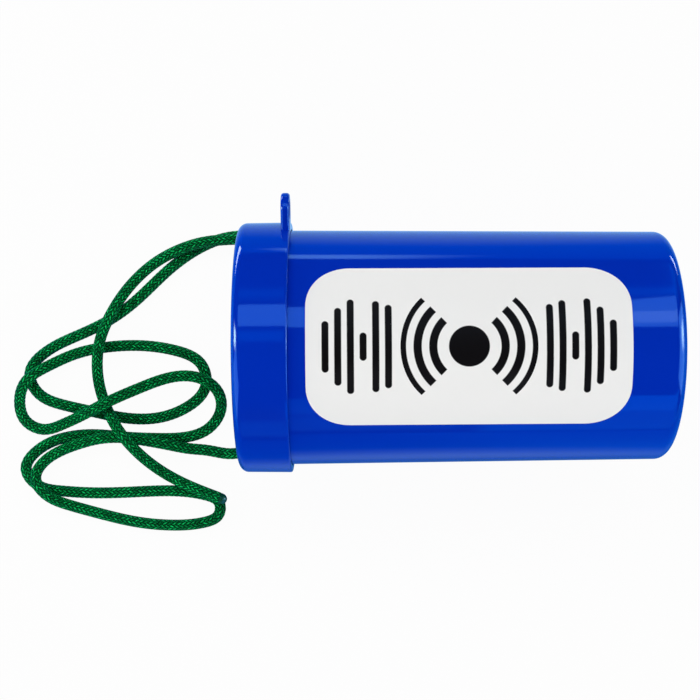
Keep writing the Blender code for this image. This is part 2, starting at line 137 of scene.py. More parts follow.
def grid_faces(rows: int, columns: int, close_rows: bool, close_columns: bool) -> tuple[np.ndarray, np.ndarray]:
    """Faces of a grid of points and the grid place of each corner before closing.

    Args:
        rows: number of grid rows.
        columns: number of grid columns.
        close_rows: whether the last row joins the first.
        close_columns: whether the last column joins the first.

    Returns:
        Vertex indices (n, 4) and unwrapped grid places (n, 4, 2).
    """
    i, j = np.meshgrid(
        np.arange(rows if close_rows else rows - 1),
        np.arange(columns if close_columns else columns - 1),
        indexing="ij",
    )
    corners = np.stack(
        [np.stack([i, j], -1), np.stack([i + 1, j], -1), np.stack([i + 1, j + 1], -1), np.stack([i, j + 1], -1)],
        axis=2,
    ).reshape(-1, 4, 2)
    faces = (corners[..., 0] % rows) * columns + corners[..., 1] % columns
    return faces, corners


def surface(
    name: str,
    points: np.ndarray,
    close_rows: bool = False,
    close_columns: bool = False,
    uv: np.ndarray | None = None,
    sharp: float = 35.0,
) -> bpy.types.Object:
    """A mesh object from a grid of points.

    Args:
        name: the object's name.
        points: (rows, columns, 3) places in the row frame.
        close_rows: whether the last row joins the first.
        close_columns: whether the last column joins the first.
        uv: (rows + 1, columns + 1, 2) surface coordinates, or none.
        sharp: angle in degrees from which an edge stays sharp.

    Returns:
        The object, smooth, with its normals outwards.
    """
    rows, columns = points.shape[:2]
    faces, corners = grid_faces(rows, columns, close_rows, close_columns)
    mesh = bpy.data.meshes.new(name)
    mesh.from_pydata(points.reshape(-1, 3).tolist(), [], faces.tolist())
    if uv is not None:
        layer = mesh.uv_layers.new(name="surface")
        layer.data.foreach_set("uv", uv[corners[..., 0], corners[..., 1]].astype(np.float32).ravel())
    finish_mesh(mesh, sharp)
    item = bpy.data.objects.new(name, mesh)
    bpy.context.scene.collection.objects.link(item)
    return item


def finish_mesh(mesh: bpy.types.Mesh, sharp: float) -> None:
    """Merge poles and seams, turn the faces outwards and shade the mesh smooth up to an angle in degrees."""
    work = bmesh.new()
    work.from_mesh(mesh)
    bmesh.ops.remove_doubles(work, verts=work.verts, dist=0.0000004)
    bmesh.ops.dissolve_degenerate(work, edges=work.edges, dist=0.0000002)
    bmesh.ops.recalc_face_normals(work, faces=work.faces)
    work.to_mesh(mesh)
    work.free()
    mesh.polygons.foreach_set("use_smooth", np.ones(len(mesh.polygons), bool))
    mesh.set_sharp_from_angle(angle=math.radians(sharp))
    mesh.update()


def turned(
    horn: HornFrame, name: str, profile: np.ndarray, turn: Turn = Turn.RING, segments: int = 192
) -> bpy.types.Object:
    """An outline turned about the horn's axis.

    Every outline point (x, r) goes once round the axis: y = r sin(angle), z = r cos(angle).

    Args:
        horn: the horn's frame.
        name: the object's name.
        profile: (n, 2) points x, r.
        turn: RING closes the outline on itself, DISC runs from pole to pole.
        segments: number of steps round the axis.

    Returns:
        The object.
    """
    angle = np.linspace(0.0, 2 * math.pi, segments, endpoint=False)
    points = horn.place(profile[:, 0, None], profile[:, 1, None], angle[None, :])
    return surface(name, points, close_rows=turn is Turn.RING, close_columns=True)


def join(target: bpy.types.Object, *others: bpy.types.Object) -> None:
    """Add other objects' meshes to a target's mesh, each as its own shell."""
    work = bmesh.new()
    for item in (target, *others):
        work.from_mesh(item.data)
    work.to_mesh(target.data)
    work.free()
    for item in others:
        bpy.data.objects.remove(item, do_unlink=True)


def cut(target: bpy.types.Object, tool: bpy.types.Object) -> None:
    """Cut a tool's shape out of a target and remove the tool."""
    step = target.modifiers.new("cut", "BOOLEAN")
    step.operation = "DIFFERENCE"
    step.object = tool
    step.solver = "EXACT"
    graph = bpy.context.evaluated_depsgraph_get()
    graph.update()
    done = bpy.data.meshes.new_from_object(target.evaluated_get(graph))
    target.modifiers.clear()
    target.data = done
    done.name = target.name
    done.polygons.foreach_set("use_smooth", np.ones(len(done.polygons), bool))
    done.set_sharp_from_angle(angle=math.radians(35.0))
    bpy.data.objects.remove(tool, do_unlink=True)


def smooth_curve(route: np.ndarray, step: float) -> np.ndarray:
    """A natural cubic spline through the route's points, read at even steps of its length.

    Args:
        route: (n, 3) points.
        step: wanted distance between points.

    Returns:
        (m, 3) points.
    """
    place = np.concatenate([[0.0], np.cumsum(np.linalg.norm(np.diff(route, axis=0), axis=1))])
    gap = np.diff(place)
    size = len(route)
    system, right = np.zeros((size, size)), np.zeros((size, 3))
    inner = np.arange(1, size - 1)
    system[0, 0] = system[-1, -1] = 1.0
    system[inner, inner - 1] = gap[:-1]
    system[inner, inner] = 2 * (gap[:-1] + gap[1:])
    system[inner, inner + 1] = gap[1:]
    right[1:-1] = 6 * ((route[2:] - route[1:-1]) / gap[1:, None] - (route[1:-1] - route[:-2]) / gap[:-1, None])
    bend = np.linalg.solve(system, right)
    read = np.linspace(0.0, place[-1], 50 * size)
    k = np.clip(np.searchsorted(place, read, side="right") - 1, 0, size - 2)
    after, before, span = (place[k + 1] - read)[:, None], (read - place[k])[:, None], gap[k][:, None]
    fine = (
        (bend[k] * after**3 + bend[k + 1] * before**3) / (6 * span)
        + (route[k] / span - bend[k] * span / 6) * after
        + (route[k + 1] / span - bend[k + 1] * span / 6) * before
    )
    length = np.concatenate([[0.0], np.cumsum(np.linalg.norm(np.diff(fine, axis=0), axis=1))])
    even = np.linspace(0.0, length[-1], int(round(length[-1] / step)) + 1)
    return np.stack([np.interp(even, length, fine[:, axis]) for axis in range(3)], axis=1)


def directions(path: np.ndarray, closed: bool = False) -> tuple[np.ndarray, np.ndarray, np.ndarray]:
    """Unit vectors along, beside and over a path that lies more or less flat."""
    if closed:
        along = np.roll(path, -1, axis=0) - np.roll(path, 1, axis=0)
    else:
        along = np.gradient(path, axis=0)
    along /= np.linalg.norm(along, axis=1, keepdims=True)
    beside = np.cross(along, [0.0, 0.0, 1.0])
    beside /= np.linalg.norm(beside, axis=1, keepdims=True)
    return along, beside, np.cross(beside, along)


# ---- finishes


class Nodes:
    """Short calls for the nodes of one tree."""

    def __init__(self, tree: bpy.types.NodeTree) -> None:
        """Keep the tree."""
        self.tree = tree

    def node(self, kind: str, **settings: object) -> bpy.types.Node:
        """A new node with its settings."""
        made = self.tree.nodes.new(kind)
        for key, value in settings.items():
            setattr(made, key, value)
        return made

    def feed(self, socket: bpy.types.NodeSocket, value: object) -> None:
        """Link an output to a socket, or set the socket's own value."""
        if isinstance(value, bpy.types.NodeSocket):
            self.tree.links.new(value, socket)
        else:
            socket.default_value = value

    def math(self, operation: str, *values: object, clamp: bool = False) -> bpy.types.NodeSocket:
        """The result of a Math node."""
        made = self.node("ShaderNodeMath", operation=operation, use_clamp=clamp)
        for socket, value in zip(made.inputs, values):
            self.feed(socket, value)
        return made.outputs[0]

    def mix(self, share: object, first: object, second: object) -> bpy.types.NodeSocket:
        """A colour between two."""
        made = self.node("ShaderNodeMix", data_type="RGBA")
        self.feed(made.inputs["Factor"], share)
        self.feed(made.inputs[6], first)
        self.feed(made.inputs[7], second)
        return made.outputs[2]

    def spread(self, value: object, low: float, high: float, to_low: float, to_high: float) -> bpy.types.NodeSocket:
        """A value taken smoothly from one range to another."""
        made = self.node("ShaderNodeMapRange", interpolation_type="SMOOTHSTEP")
        for socket, given in zip(made.inputs, (value, low, high, to_low, to_high)):
            self.feed(socket, given)
        return made.outputs[0]

    def noise(self, vector: object, scale: float, detail: float = 2.0) -> bpy.types.NodeSocket:
        """Noise from 0 to 1."""
        made = self.node("ShaderNodeTexNoise")
        self.feed(made.inputs["Vector"], vector)
        made.inputs["Scale"].default_value = scale
        made.inputs["Detail"].default_value = detail
        return made.outputs["Fac"]

    def coordinates(self, output: str) -> bpy.types.NodeSocket:
        """Object or UV coordinates."""
        return self.node("ShaderNodeTexCoord").outputs[output]

    def split(self, vector: object) -> tuple[bpy.types.NodeSocket, ...]:
        """The parts of a vector."""
        made = self.node("ShaderNodeSeparateXYZ")
        self.feed(made.inputs[0], vector)
        return tuple(made.outputs)

    def join(self, x: object, y: object, z: object) -> bpy.types.NodeSocket:
        """A vector from its parts."""
        made = self.node("ShaderNodeCombineXYZ")
        for socket, value in zip(made.inputs, (x, y, z)):
            self.feed(socket, value)
        return made.outputs[0]

    def bump(self, height: object, distance: float, strength: float = 1.0) -> bpy.types.NodeSocket:
        """A normal that follows a height."""
        made = self.node("ShaderNodeBump")
        self.feed(made.inputs["Height"], height)
        made.inputs["Distance"].default_value = distance
        made.inputs["Strength"].default_value = strength
        return made.outputs["Normal"]

    def group(self, tree: bpy.types.NodeTree, **values: object) -> bpy.types.Node:
        """A placed node group with its inputs."""
        made = self.node("ShaderNodeGroup", node_tree=tree)
        for key, value in values.items():
            self.feed(made.inputs[key], value)
        return made


def new_group(name: str, inputs: dict[str, str], outputs: dict[str, str]) -> tuple[Nodes, bpy.types.Node, bpy.types.Node]:
    """A node group with named sockets.

    Args:
        name: the group's name.
        inputs: input names and socket types.
        outputs: output names and socket types.

    Returns:
        Its nodes helper, input node and output node.
    """
    tree = bpy.data.node_groups.new(name, "ShaderNodeTree")
    for label, kind in inputs.items():
        tree.interface.new_socket(label, in_out="INPUT", socket_type=kind)
    for label, kind in outputs.items():
        tree.interface.new_socket(label, in_out="OUTPUT", socket_type=kind)
    nodes = Nodes(tree)
    return nodes, nodes.node("NodeGroupInput"), nodes.node("NodeGroupOutput")


def mould_grain_group() -> bpy.types.NodeTree:
    """What moulding and handling leave on plastic: flow marks in the colour, dull patches, fine hairlines."""
    nodes, given, result = new_group(
        "mould_grain",
        {"Place": "NodeSocketVector", "Roughness": "NodeSocketFloat", "Spread": "NodeSocketFloat"},
        {"Flow": "NodeSocketFloat", "Roughness": "NodeSocketFloat", "Height": "NodeSocketFloat"},
    )
    x, y, z = nodes.split(given.outputs["Place"])
    drawn = nodes.join(nodes.math("MULTIPLY", x, 0.25), y, z)
    flow = nodes.noise(drawn, 22.0, 3.0)
    dull = nodes.noise(given.outputs["Place"], 60.0, 4.0)
    hairs = nodes.noise(nodes.join(nodes.math("MULTIPLY", x, 6.0), y, z), 260.0, 1.0)
    rough = nodes.math("MULTIPLY_ADD", nodes.math("SUBTRACT", dull, 0.5), given.outputs["Spread"],
                       given.outputs["Roughness"])
    nodes.feed(result.inputs["Flow"], flow)
    nodes.feed(result.inputs["Roughness"], rough)
    nodes.feed(result.inputs["Height"], nodes.math("MULTIPLY_ADD", hairs, 0.06, nodes.math("MULTIPLY", flow, 1.0)))
    return nodes.tree


def braid_group() -> bpy.types.NodeTree:
    """A round braid: two families of strands that pass over two and under two of each other.

    The surface coordinates count strands round the cord (u) and along it (v). u + v and u - v number the two
    families. Their whole parts' sum, counted by fours, says which one is on top and which half of its float
    shows. Each float is a pillow, long along its own run, with fine fibres.
    """
    nodes, given, result = new_group(
        "round_braid",
        {"Surface": "NodeSocketVector"},
        {"Height": "NodeSocketFloat", "Shade": "NodeSocketFloat", "Fibre": "NodeSocketFloat"},
    )
    u, v, _ = nodes.split(given.outputs["Surface"])
    first, second = nodes.math("ADD", u, v), nodes.math("SUBTRACT", u, v)
    one, two = nodes.math("FLOOR", first), nodes.math("FLOOR", second)
    turn = nodes.math("FLOORED_MODULO", nodes.math("ADD", one, two), 4.0)
    under, half = nodes.math("GREATER_THAN", turn, 1.5), nodes.math("FLOORED_MODULO", turn, 2.0)

    def pick(first_value: bpy.types.NodeSocket, second_value: bpy.types.NodeSocket) -> bpy.types.NodeSocket:
        """The value of the family that lies on top."""
        made = nodes.node("ShaderNodeMix", data_type="FLOAT")
        nodes.feed(made.inputs[0], under)
        nodes.feed(made.inputs[2], first_value)
        nodes.feed(made.inputs[3], second_value)
        return made.outputs[0]

    across = nodes.math("SINE", nodes.math("MULTIPLY", nodes.math("FRACT", pick(first, second)), math.pi))
    run = nodes.math("MULTIPLY", nodes.math("ADD", nodes.math("FRACT", pick(second, first)), half), math.pi / 2)
    along = nodes.math("SINE", run)
    height = nodes.math("MULTIPLY", nodes.math("POWER", across, 1.2), nodes.math("POWER", along, 0.6))
    fibre = nodes.noise(nodes.join(nodes.math("MULTIPLY", pick(first, second), 5.0),
                                   nodes.math("MULTIPLY", pick(second, first), 0.7), under), 1.3, 2.0)
    strand, start = pick(one, two), nodes.math("SUBTRACT", pick(two, one), half)
    shade = nodes.noise(nodes.join(strand, start, under), 0.73, 0.0)
    nodes.feed(result.inputs["Height"], nodes.math("MULTIPLY_ADD", fibre, 0.16, height))
    # Shade, the strand's height times a random tone per float, is the mask that the cord's finish turns into painted
    # shade and painted highlights.
    nodes.feed(result.inputs["Shade"], nodes.math("MULTIPLY", height, nodes.spread(shade, 0.3, 0.7, 0.55, 1.0)))
    nodes.feed(result.inputs["Fibre"], fibre)
    return nodes.tree


@dataclass(frozen=True)
class Plastic:
    """A moulded plastic.

    Attributes:
        name: material name.
        colour: linear base colour.
        flow_colour: the colour that flow marks lean to.
        roughness: mean roughness.
        spread: how much the roughness varies.
        relief: depth of the grain in metres.
        tint: colour of the mirror-like part.
        alpha: opacity.
    """

    name: str
    colour: tuple[float, float, float]
    flow_colour: tuple[float, float, float]
    roughness: float
    spread: float = 0.04
    relief: float = 0.00001
    tint: tuple[float, float, float] = (1.0, 1.0, 1.0)
    alpha: float = 1.0

    def make(self, grain: bpy.types.NodeTree) -> bpy.types.Material:
        """The material."""
        material, nodes, shader = new_material(self.name)
        marks = nodes.group(grain, Place=nodes.coordinates("Object"), Roughness=self.roughness, Spread=self.spread)
        shade = nodes.spread(marks.outputs["Flow"], 0.3, 0.7, 0.0, 1.0)
        nodes.feed(shader.inputs["Base Color"], nodes.mix(shade, (*self.colour, 1.0), (*self.flow_colour, 1.0)))
        nodes.feed(shader.inputs["Roughness"], marks.outputs["Roughness"])
        nodes.feed(shader.inputs["Normal"], nodes.bump(marks.outputs["Height"], self.relief))
        shader.inputs["Specular Tint"].default_value = (*self.tint, 1.0)
        shader.inputs["Alpha"].default_value = self.alpha
        return material


def new_material(name: str) -> tuple[bpy.types.Material, Nodes, bpy.types.Node]:
    """A material with its nodes helper and its Principled shader."""
    material = bpy.data.materials.new(name)
    material.use_nodes = True
    return material, Nodes(material.node_tree), material.node_tree.nodes["Principled BSDF"]


@dataclass(frozen=True)
class BraidFinish:
    """Braided polypropylene cord, with painted shade between the strands and painted highlights on their crowns.

    Attributes:
        name: material name.
        valley: colour between the strands, near black: painted shade in the gaps.
        strand: colour of the strands.
        crown_highlight: colour where a strand stands highest: a painted highlight.
        relief: depth of the braid in metres.
    """

    name: str
    valley: tuple[float, float, float]
    strand: tuple[float, float, float]
    crown_highlight: tuple[float, float, float]
    relief: float

    def make(self, braid: bpy.types.NodeTree) -> bpy.types.Material:
        """The material."""
        material, nodes, shader = new_material(self.name)
        weave = nodes.group(braid, Surface=nodes.coordinates("UV"))
        # Painted shade: where a strand lies low, the colour falls to the near-black valley colour.
        low = nodes.spread(weave.outputs["Shade"], 0.10, 0.46, 0.0, 1.0)
        high = nodes.spread(weave.outputs["Shade"], 0.50, 0.95, 0.0, 1.0)
        body = nodes.mix(low, (*self.valley, 1.0), (*self.strand, 1.0))
        # Painted highlight: where a strand stands highest, the colour rises to the bright crown colour, more on some
        # fibres.
        sheen = nodes.spread(weave.outputs["Fibre"], 0.25, 0.75, 0.35, 0.8)
        lit = nodes.mix(nodes.math("MULTIPLY", high, sheen), body, (*self.crown_highlight, 1.0))
        nodes.feed(shader.inputs["Base Color"], lit)
        nodes.feed(shader.inputs["Roughness"], nodes.spread(weave.outputs["Fibre"], 0.2, 0.8, 0.5, 0.34))
        nodes.feed(shader.inputs["Normal"], nodes.bump(weave.outputs["Height"], self.relief))
        shader.inputs["Specular Tint"].default_value = (0.04, 0.9, 0.3, 1.0)
        shader.inputs["Specular IOR Level"].default_value = 0.1
        shader.inputs["Sheen Weight"].default_value = 0.4
        shader.inputs["Sheen Tint"].default_value = (0.01, 0.6, 0.15, 1.0)
        return material


@dataclass(frozen=True)
class PrintedVinyl:
    """White sticker vinyl with a black print of bars that swell and fade like a sound.

    The surface coordinates are millimetres from the sticker's middle: u along the horn, v round it.

    Attributes:
        name: material name.
        paper: linear colour of the vinyl.
        ink: linear colour of the print.
        disc: radius of the middle disc in millimetres.
        ring_step: distance between rings in millimetres.
        rings: outer radius of the rings in millimetres.
        bar_step: distance between bars in millimetres.
        bar_width: width of a bar in millimetres.
        bars_from: where the bars start, in millimetres from the middle.
        bars_to: where the bars end.
    """

    name: str = "printed_vinyl"
    paper: tuple[float, float, float] = (0.90, 0.90, 0.89)
    ink: tuple[float, float, float] = (0.004, 0.0015, 0.0005)
    disc: float = 5.5
    ring_step: float = 4.2
    rings: float = 18.5
    bar_step: float = 3.4
    bar_width: float = 1.9
    bars_from: float = 20.0
    bars_to: float = 40.2

    def make(self, grain: bpy.types.NodeTree) -> bpy.types.Material:
        """The material."""
        material, nodes, shader = new_material(self.name)
        marks = nodes.group(grain, Place=nodes.coordinates("Object"), Roughness=0.52, Spread=0.06)
        ink = nodes.group(self.artwork(), Surface=nodes.coordinates("UV")).outputs["Ink"]
        worn = nodes.math("MULTIPLY", ink, nodes.spread(marks.outputs["Flow"], 0.1, 0.4, 0.97, 1.0))
        nodes.feed(shader.inputs["Base Color"], nodes.mix(worn, (*self.paper, 1.0), (*self.ink, 1.0)))
        nodes.feed(shader.inputs["Roughness"], marks.outputs["Roughness"])
        nodes.feed(shader.inputs["Normal"], nodes.bump(marks.outputs["Height"], 0.000006))
        shader.inputs["Specular IOR Level"].default_value = 0.05
        return material

    def artwork(self) -> bpy.types.NodeTree:
        """The print as one mask: a disc, rings cut to two fans, and rows of round-ended bars."""
        nodes, given, result = new_group("sound_print", {"Surface": "NodeSocketVector"}, {"Ink": "NodeSocketFloat"})
        u, v, _ = nodes.split(given.outputs["Surface"])
        side = nodes.math("ABSOLUTE", u)
        reach = nodes.math("SQRT", nodes.math("ADD", nodes.math("MULTIPLY", u, u), nodes.math("MULTIPLY", v, v)))
        disc = nodes.spread(reach, self.disc - 0.12, self.disc + 0.12, 1.0, 0.0)
        turn = nodes.math("SUBTRACT", reach, self.disc + self.ring_step * 0.5)
        wave = nodes.math("ABSOLUTE", nodes.math("SUBTRACT", nodes.math("FRACT", nodes.math(
            "DIVIDE", turn, self.ring_step)), 0.5))
        line = nodes.spread(wave, 0.24, 0.29, 1.0, 0.0)
        inner = nodes.math("GREATER_THAN", turn, 0.0)
        outer = nodes.math("LESS_THAN", reach, self.rings)
        fan = nodes.spread(nodes.math("SUBTRACT", nodes.math("ABSOLUTE", v), nodes.math("MULTIPLY", side, 1.05)),
                           -0.15, 0.15, 1.0, 0.0)
        rings = nodes.math("MULTIPLY", nodes.math("MULTIPLY", line, fan), nodes.math("MULTIPLY", inner, outer))
        bars = self.bars(nodes, side, v)
        ink = nodes.math("MAXIMUM", nodes.math("MAXIMUM", disc, rings), bars)
        nodes.feed(result.inputs["Ink"], ink)
        return nodes.tree

    def bars(self, nodes: Nodes, side: object, v: object) -> bpy.types.NodeSocket:
        """Round-ended bars whose half height swells and fades with a sine of the bar's number."""
        place = nodes.math("DIVIDE", nodes.math("SUBTRACT", side, self.bars_from), self.bar_step)
        number = nodes.math("FLOOR", place)
        beside = nodes.math("MULTIPLY", nodes.math("SUBTRACT", nodes.math("FRACT", place), 0.5), self.bar_step)
        swell = nodes.math("ABSOLUTE", nodes.math("SINE", nodes.math("MULTIPLY_ADD", number, 1.15, 0.9)))
        half = nodes.math("MULTIPLY_ADD", swell, 10.5, 2.2)
        over = nodes.math("MAXIMUM", nodes.math("SUBTRACT", nodes.math("ABSOLUTE", v), half), 0.0)
        off = nodes.math("SQRT", nodes.math("ADD", nodes.math("MULTIPLY", beside, beside),
                                            nodes.math("MULTIPLY", over, over)))
        drawn = nodes.spread(off, self.bar_width / 2 - 0.12, self.bar_width / 2 + 0.12, 1.0, 0.0)
        inside = nodes.math("MULTIPLY", nodes.math("GREATER_THAN", side, self.bars_from),
                            nodes.math("LESS_THAN", side, self.bars_to))
        return nodes.math("MULTIPLY", drawn, inside)


@dataclass
class Finishes:
    """Every material of the horn, made once."""

    made: dict[Slot, bpy.types.Material] = field(default_factory=dict)

    def __post_init__(self) -> None:
        """Make the shared effects and the materials."""
        grain, braid = mould_grain_group(), braid_group()
        plastics = {
            Slot.BLUE: Plastic("blue_plastic_gloss", (0.0, 0.0265, 0.475), (0.0, 0.0285, 0.495), 0.07, 0.03,
                               0.000006, (0.35, 0.6, 1.0)),
            Slot.BLACK: Plastic("black_plastic_satin", (0.015, 0.015, 0.017), (0.02, 0.02, 0.022), 0.45, 0.1),
            Slot.WHITE: Plastic("white_plastic_satin", (0.8, 0.8, 0.79), (0.75, 0.75, 0.74), 0.35, 0.1),
            Slot.RUBBER: Plastic("grey_rubber_matte", (0.06, 0.06, 0.063), (0.075, 0.075, 0.078), 0.7, 0.15,
                                 0.00003),
            Slot.FILM: Plastic("clear_film_gloss", (0.78, 0.8, 0.82), (0.74, 0.77, 0.8), 0.12, 0.05, 0.00002,
                               (1.0, 1.0, 1.0), 0.45),
            Slot.MELTED: Plastic("melted_cord_end", (0.0, 0.07, 0.02), (0.0, 0.045, 0.015), 0.3, 0.15, 0.00005),
        }
        for slot, finish in plastics.items():
            self.made[slot] = finish.make(grain)
        self.made[Slot.VINYL] = PrintedVinyl().make(grain)
        # The cord's first colour is painted shade between the strands, its third a painted highlight on their crowns.
        cord = BraidFinish("green_braid", (0.0, 0.008, 0.003), (0.0, 0.170, 0.030), (0.012, 1.0, 0.22), 0.0005)
        self.made[Slot.CORD] = cord.make(braid)

    def dress(self, item: bpy.types.Object, slot: Slot) -> None:
        """Give an object the material of a slot."""
        item.data.materials.clear()
        item.data.materials.append(self.made[slot])


def stand_for(item: bpy.types.Object, body: str, *nodes: str) -> None:
    """Ride on a body, take the place of its plain nodes and report."""
    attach(item, body)
    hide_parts(*nodes)
    LOG.info("%s: %d faces on %s", item.name, len(item.data.polygons), body)


# ---- the horn


@dataclass
class Casing:
    """The tapered casing with its round outlet edge and the slot for the mouthpiece."""

    horn: HornFrame
    wall: float = 1.8 * MM
    end_wall: float = 2.2 * MM
    taper: float = 1.0 * MM
    edge: float = 3.5 * MM
    lip: float = 0.35 * MM
    inner_edge: float = 2.0 * MM
    hole_gap: float = 0.3 * MM

    def radius(self, x: np.ndarray | float) -> np.ndarray | float:
        """Outer radius at x: it falls evenly from the rim to the outlet."""
        start, end = self.span()
        return self.horn.radius_of("body_shell") - self.taper * (x - start) / (end - start)

    def span(self) -> tuple[float, float]:
        """x of the rim and of the outlet's end."""
        low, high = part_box("body_shell")
        return low[0] - self.horn.start, high[0] - self.horn.start

    def build(self, finishes: Finishes) -> bpy.types.Object:
        """The casing's fine mesh."""
        start, end = self.span()
        hole = (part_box("horn_pipe")[1][0] - self.horn.start, self.pipe_radius() + self.hole_gap)
        rim_radius = self.radius(start)
        end_radius = self.radius(end - self.edge)
        inner_end = end - self.end_wall
        inner_radius = self.radius(inner_end) - self.wall
        corner = arc(end - self.edge, end_radius - self.edge, self.edge, 0, 90, 18)
        rim = arc(start + self.lip, rim_radius - self.lip, self.lip, 90, 180, 5)
        inside = arc(inner_end - self.inner_edge, inner_radius - self.inner_edge, self.inner_edge, 90, 0, 8)
        profile = outline(
            straight((hole[0], hole[1]), tuple(corner[0])),
            corner,
            straight(tuple(corner[-1]), tuple(rim[0])),
            rim,
            straight((start, rim_radius - self.lip), (start, rim_radius - self.wall)),
            straight((start, rim_radius - self.wall), tuple(inside[0])),
            inside,
            straight(tuple(inside[-1]), (inner_end, hole[1])),
        )
        item = turned(self.horn, "casing", profile, segments=256)
        cut(item, self.slot_tool())
        finishes.dress(item, Slot.BLUE)
        stand_for(item, HORN_BODY, "body_shell")
        return item

    def pipe_radius(self) -> float:
        """Outer radius of the pipe at the outlet, from the seal ring's bore and the same gap."""
        return 20.5 * MM

    def slot_tool(self) -> bpy.types.Object:
        """A prism a little wider than the mouthpiece."""
        low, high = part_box("mouthpiece")
        middle = (low[0] + high[0]) / 2 - self.horn.start
        size = Mouthpiece(self.horn)
        gap = 0.3 * MM
        rho = size.width / 2 + gap
        profile = np.array([[0.0, -0.045], [rho, -0.045], [rho, -0.020], [0.0, -0.020]])
        return oval_turned(self.horn, "slot_tool", profile, middle, size.length / 2 - size.width / 2)


def oval_turned(
    horn: HornFrame, name: str, profile: np.ndarray, middle: float, half: float, segments: int = 48
) -> bpy.types.Object:
    """An outline carried round a slot shape about a vertical line.

    The slot is two half circles joined by straight sides. A point of the outline at (rho, z) stands rho away
    from a core line of the given half length along x, at height z from the horn's axis.

    Args:
        horn: the horn's frame.
        name: the object's name.
        profile: (n, 2) points rho, z. A rho of nought makes a flat middle.
        middle: x of the slot's middle from the cap's end.
        half: half length of the core line.
        segments: steps round each half circle.

    Returns:
        The object.
    """
    turn = np.linspace(-math.pi / 2, math.pi / 2, segments + 1)
    angle = np.concatenate([turn, turn + math.pi])
    core = np.concatenate([np.full(segments + 1, half), np.full(segments + 1, -half)])
    rho, z = profile[:, 0, None], profile[:, 1, None]
    core = core * np.where(rho > 0, 1.0, 1.0)
    x = horn.start + middle + core + rho * np.cos(angle)
    y = horn.y + rho * np.sin(angle)
    points = np.stack(np.broadcast_arrays(x, y, horn.z + z), axis=-1)
    closed = bool(profile[0, 0] > 0)
    item = surface(name, points, close_rows=closed, close_columns=True)
    if not closed:
        close_holes(item.data)
    return item


def close_holes(mesh: bpy.types.Mesh) -> None:
    """Fill the open ends of a mesh."""
    work = bmesh.new()
    work.from_mesh(mesh)
    bmesh.ops.holes_fill(work, edges=work.edges)
    bmesh.ops.recalc_face_normals(work, faces=work.faces)
    work.to_mesh(mesh)
    work.free()


@dataclass
class Cap:
    """The push-on cap with its two eyelets."""

    horn: HornFrame
    length: float = 15.2 * MM
    wall: float = 1.95 * MM
    end_wall: float = 2.0 * MM
    opening: float = 24.0 * MM
    edge: float = 2.6 * MM
    rim_edge: float = 0.5 * MM
    opening_edge: float = 0.4 * MM
    draft: float = 0.12 * MM
    eyelet_radius: float = 4.7 * MM
    eyelet_hole: float = 2.4 * MM
    eyelet_thickness: float = 2.5 * MM
    eyelet_height: float = 4.65 * MM
    eyelet_edge: float = 0.8 * MM
    eyelet_angle: float = math.radians(72.0)

    def build(self, finishes: Finishes) -> bpy.types.Object:
        """The cap's fine mesh with both eyelets."""
        radius = self.horn.radius_of("cap")
        bore = radius - self.wall
        back = radius - self.draft
        rim = arc(self.length - self.rim_edge, radius - self.rim_edge, self.rim_edge, 0, 90, 6)
        corner = arc(self.edge, back - self.edge, self.edge, 90, 180, 18)
        lip = arc(self.opening_edge, self.opening + self.opening_edge, self.opening_edge, 180, 270, 5)
        profile = outline(
            straight((self.length, bore), tuple(rim[0]), 0.0002),
            rim,
            straight(tuple(rim[-1]), tuple(corner[0])),
            corner,
            straight(tuple(corner[-1]), tuple(lip[0])),
            lip,
            straight(tuple(lip[-1]), (self.end_wall, self.opening)),
            straight((self.end_wall, self.opening), (self.end_wall, bore)),
        )
        item = turned(self.horn, "push_cap", profile, segments=256)
        low = -(math.pi / 2 + math.asin((radius - self.eyelet_radius) / (radius + self.eyelet_height)))
        join(item, self.eyelet("eyelet_seen", self.eyelet_angle), self.eyelet("eyelet_under", low))
        item.data.set_sharp_from_angle(angle=math.radians(35.0))
        finishes.dress(item, Slot.BLUE)
        stand_for(item, CAP_BODY, "cap")
        return item

    def eyelet(self, name: str, angle: float) -> bpy.types.Object:
        """A tab with a round end and a hole, its foot in the cap's wall.

        Round the tab runs an outer line: a half circle above, straight sides and a flat foot below. Each of its
        points has a partner on the hole's circle. A rounded section is carried between the two.

        Args:
            name: the object's name.
            angle: where it stands, from straight up towards +Y.

        Returns:
            The object.
        """
        radius = self.horn.radius_of("cap")
        foot = radius - self.wall * 2 / 3 - (radius + self.eyelet_height)
        turn = np.linspace(0.0, 2 * math.pi, 72, endpoint=False)
        around = np.stack([np.cos(turn), np.sin(turn)], axis=1)
        reach = np.where(around[:, 1] < 0, np.minimum(self.eyelet_radius / np.maximum(np.abs(around[:, 0]), 1e-6),
                                                      foot / np.minimum(around[:, 1], -1e-6)), self.eyelet_radius)
        outer, inner = around * reach[:, None], around * self.eyelet_hole
        half, edge = self.eyelet_thickness / 2, self.eyelet_edge
        bend = np.radians(np.linspace(90, 0, 7))
        side = np.stack([edge * (np.cos(bend) - 1.0), half - edge + edge * np.sin(bend)], axis=1)
        outside = np.concatenate([side, side[::-1] * [1, -1]])
        inside = outside[::-1] * [-1, 1]
        span = np.linalg.norm(outer - inner, axis=1)
        across = (outer - inner) / span[:, None]
        away = np.concatenate([span[:, None] + outside[None, :, 0], np.repeat(inside[None, :, 0], len(turn), 0)], axis=1)
        level = np.concatenate([outside[:, 1], inside[:, 1]])
        flat = inner[:, None, :] + across[:, None, :] * away[..., None]
        distance = radius + self.eyelet_height + flat[..., 1]
        outward = np.array([0.0, math.sin(angle), math.cos(angle)])
        beside = np.array([0.0, math.cos(angle), -math.sin(angle)])
        centre = np.array([self.horn.start + self.length - half, self.horn.y, self.horn.z])
        points = (centre + distance[..., None] * outward + flat[..., 0, None] * beside
                  + np.array([1.0, 0.0, 0.0]) * level[None, :, None])
        return surface(name, points, close_rows=True, close_columns=True, sharp=50.0)


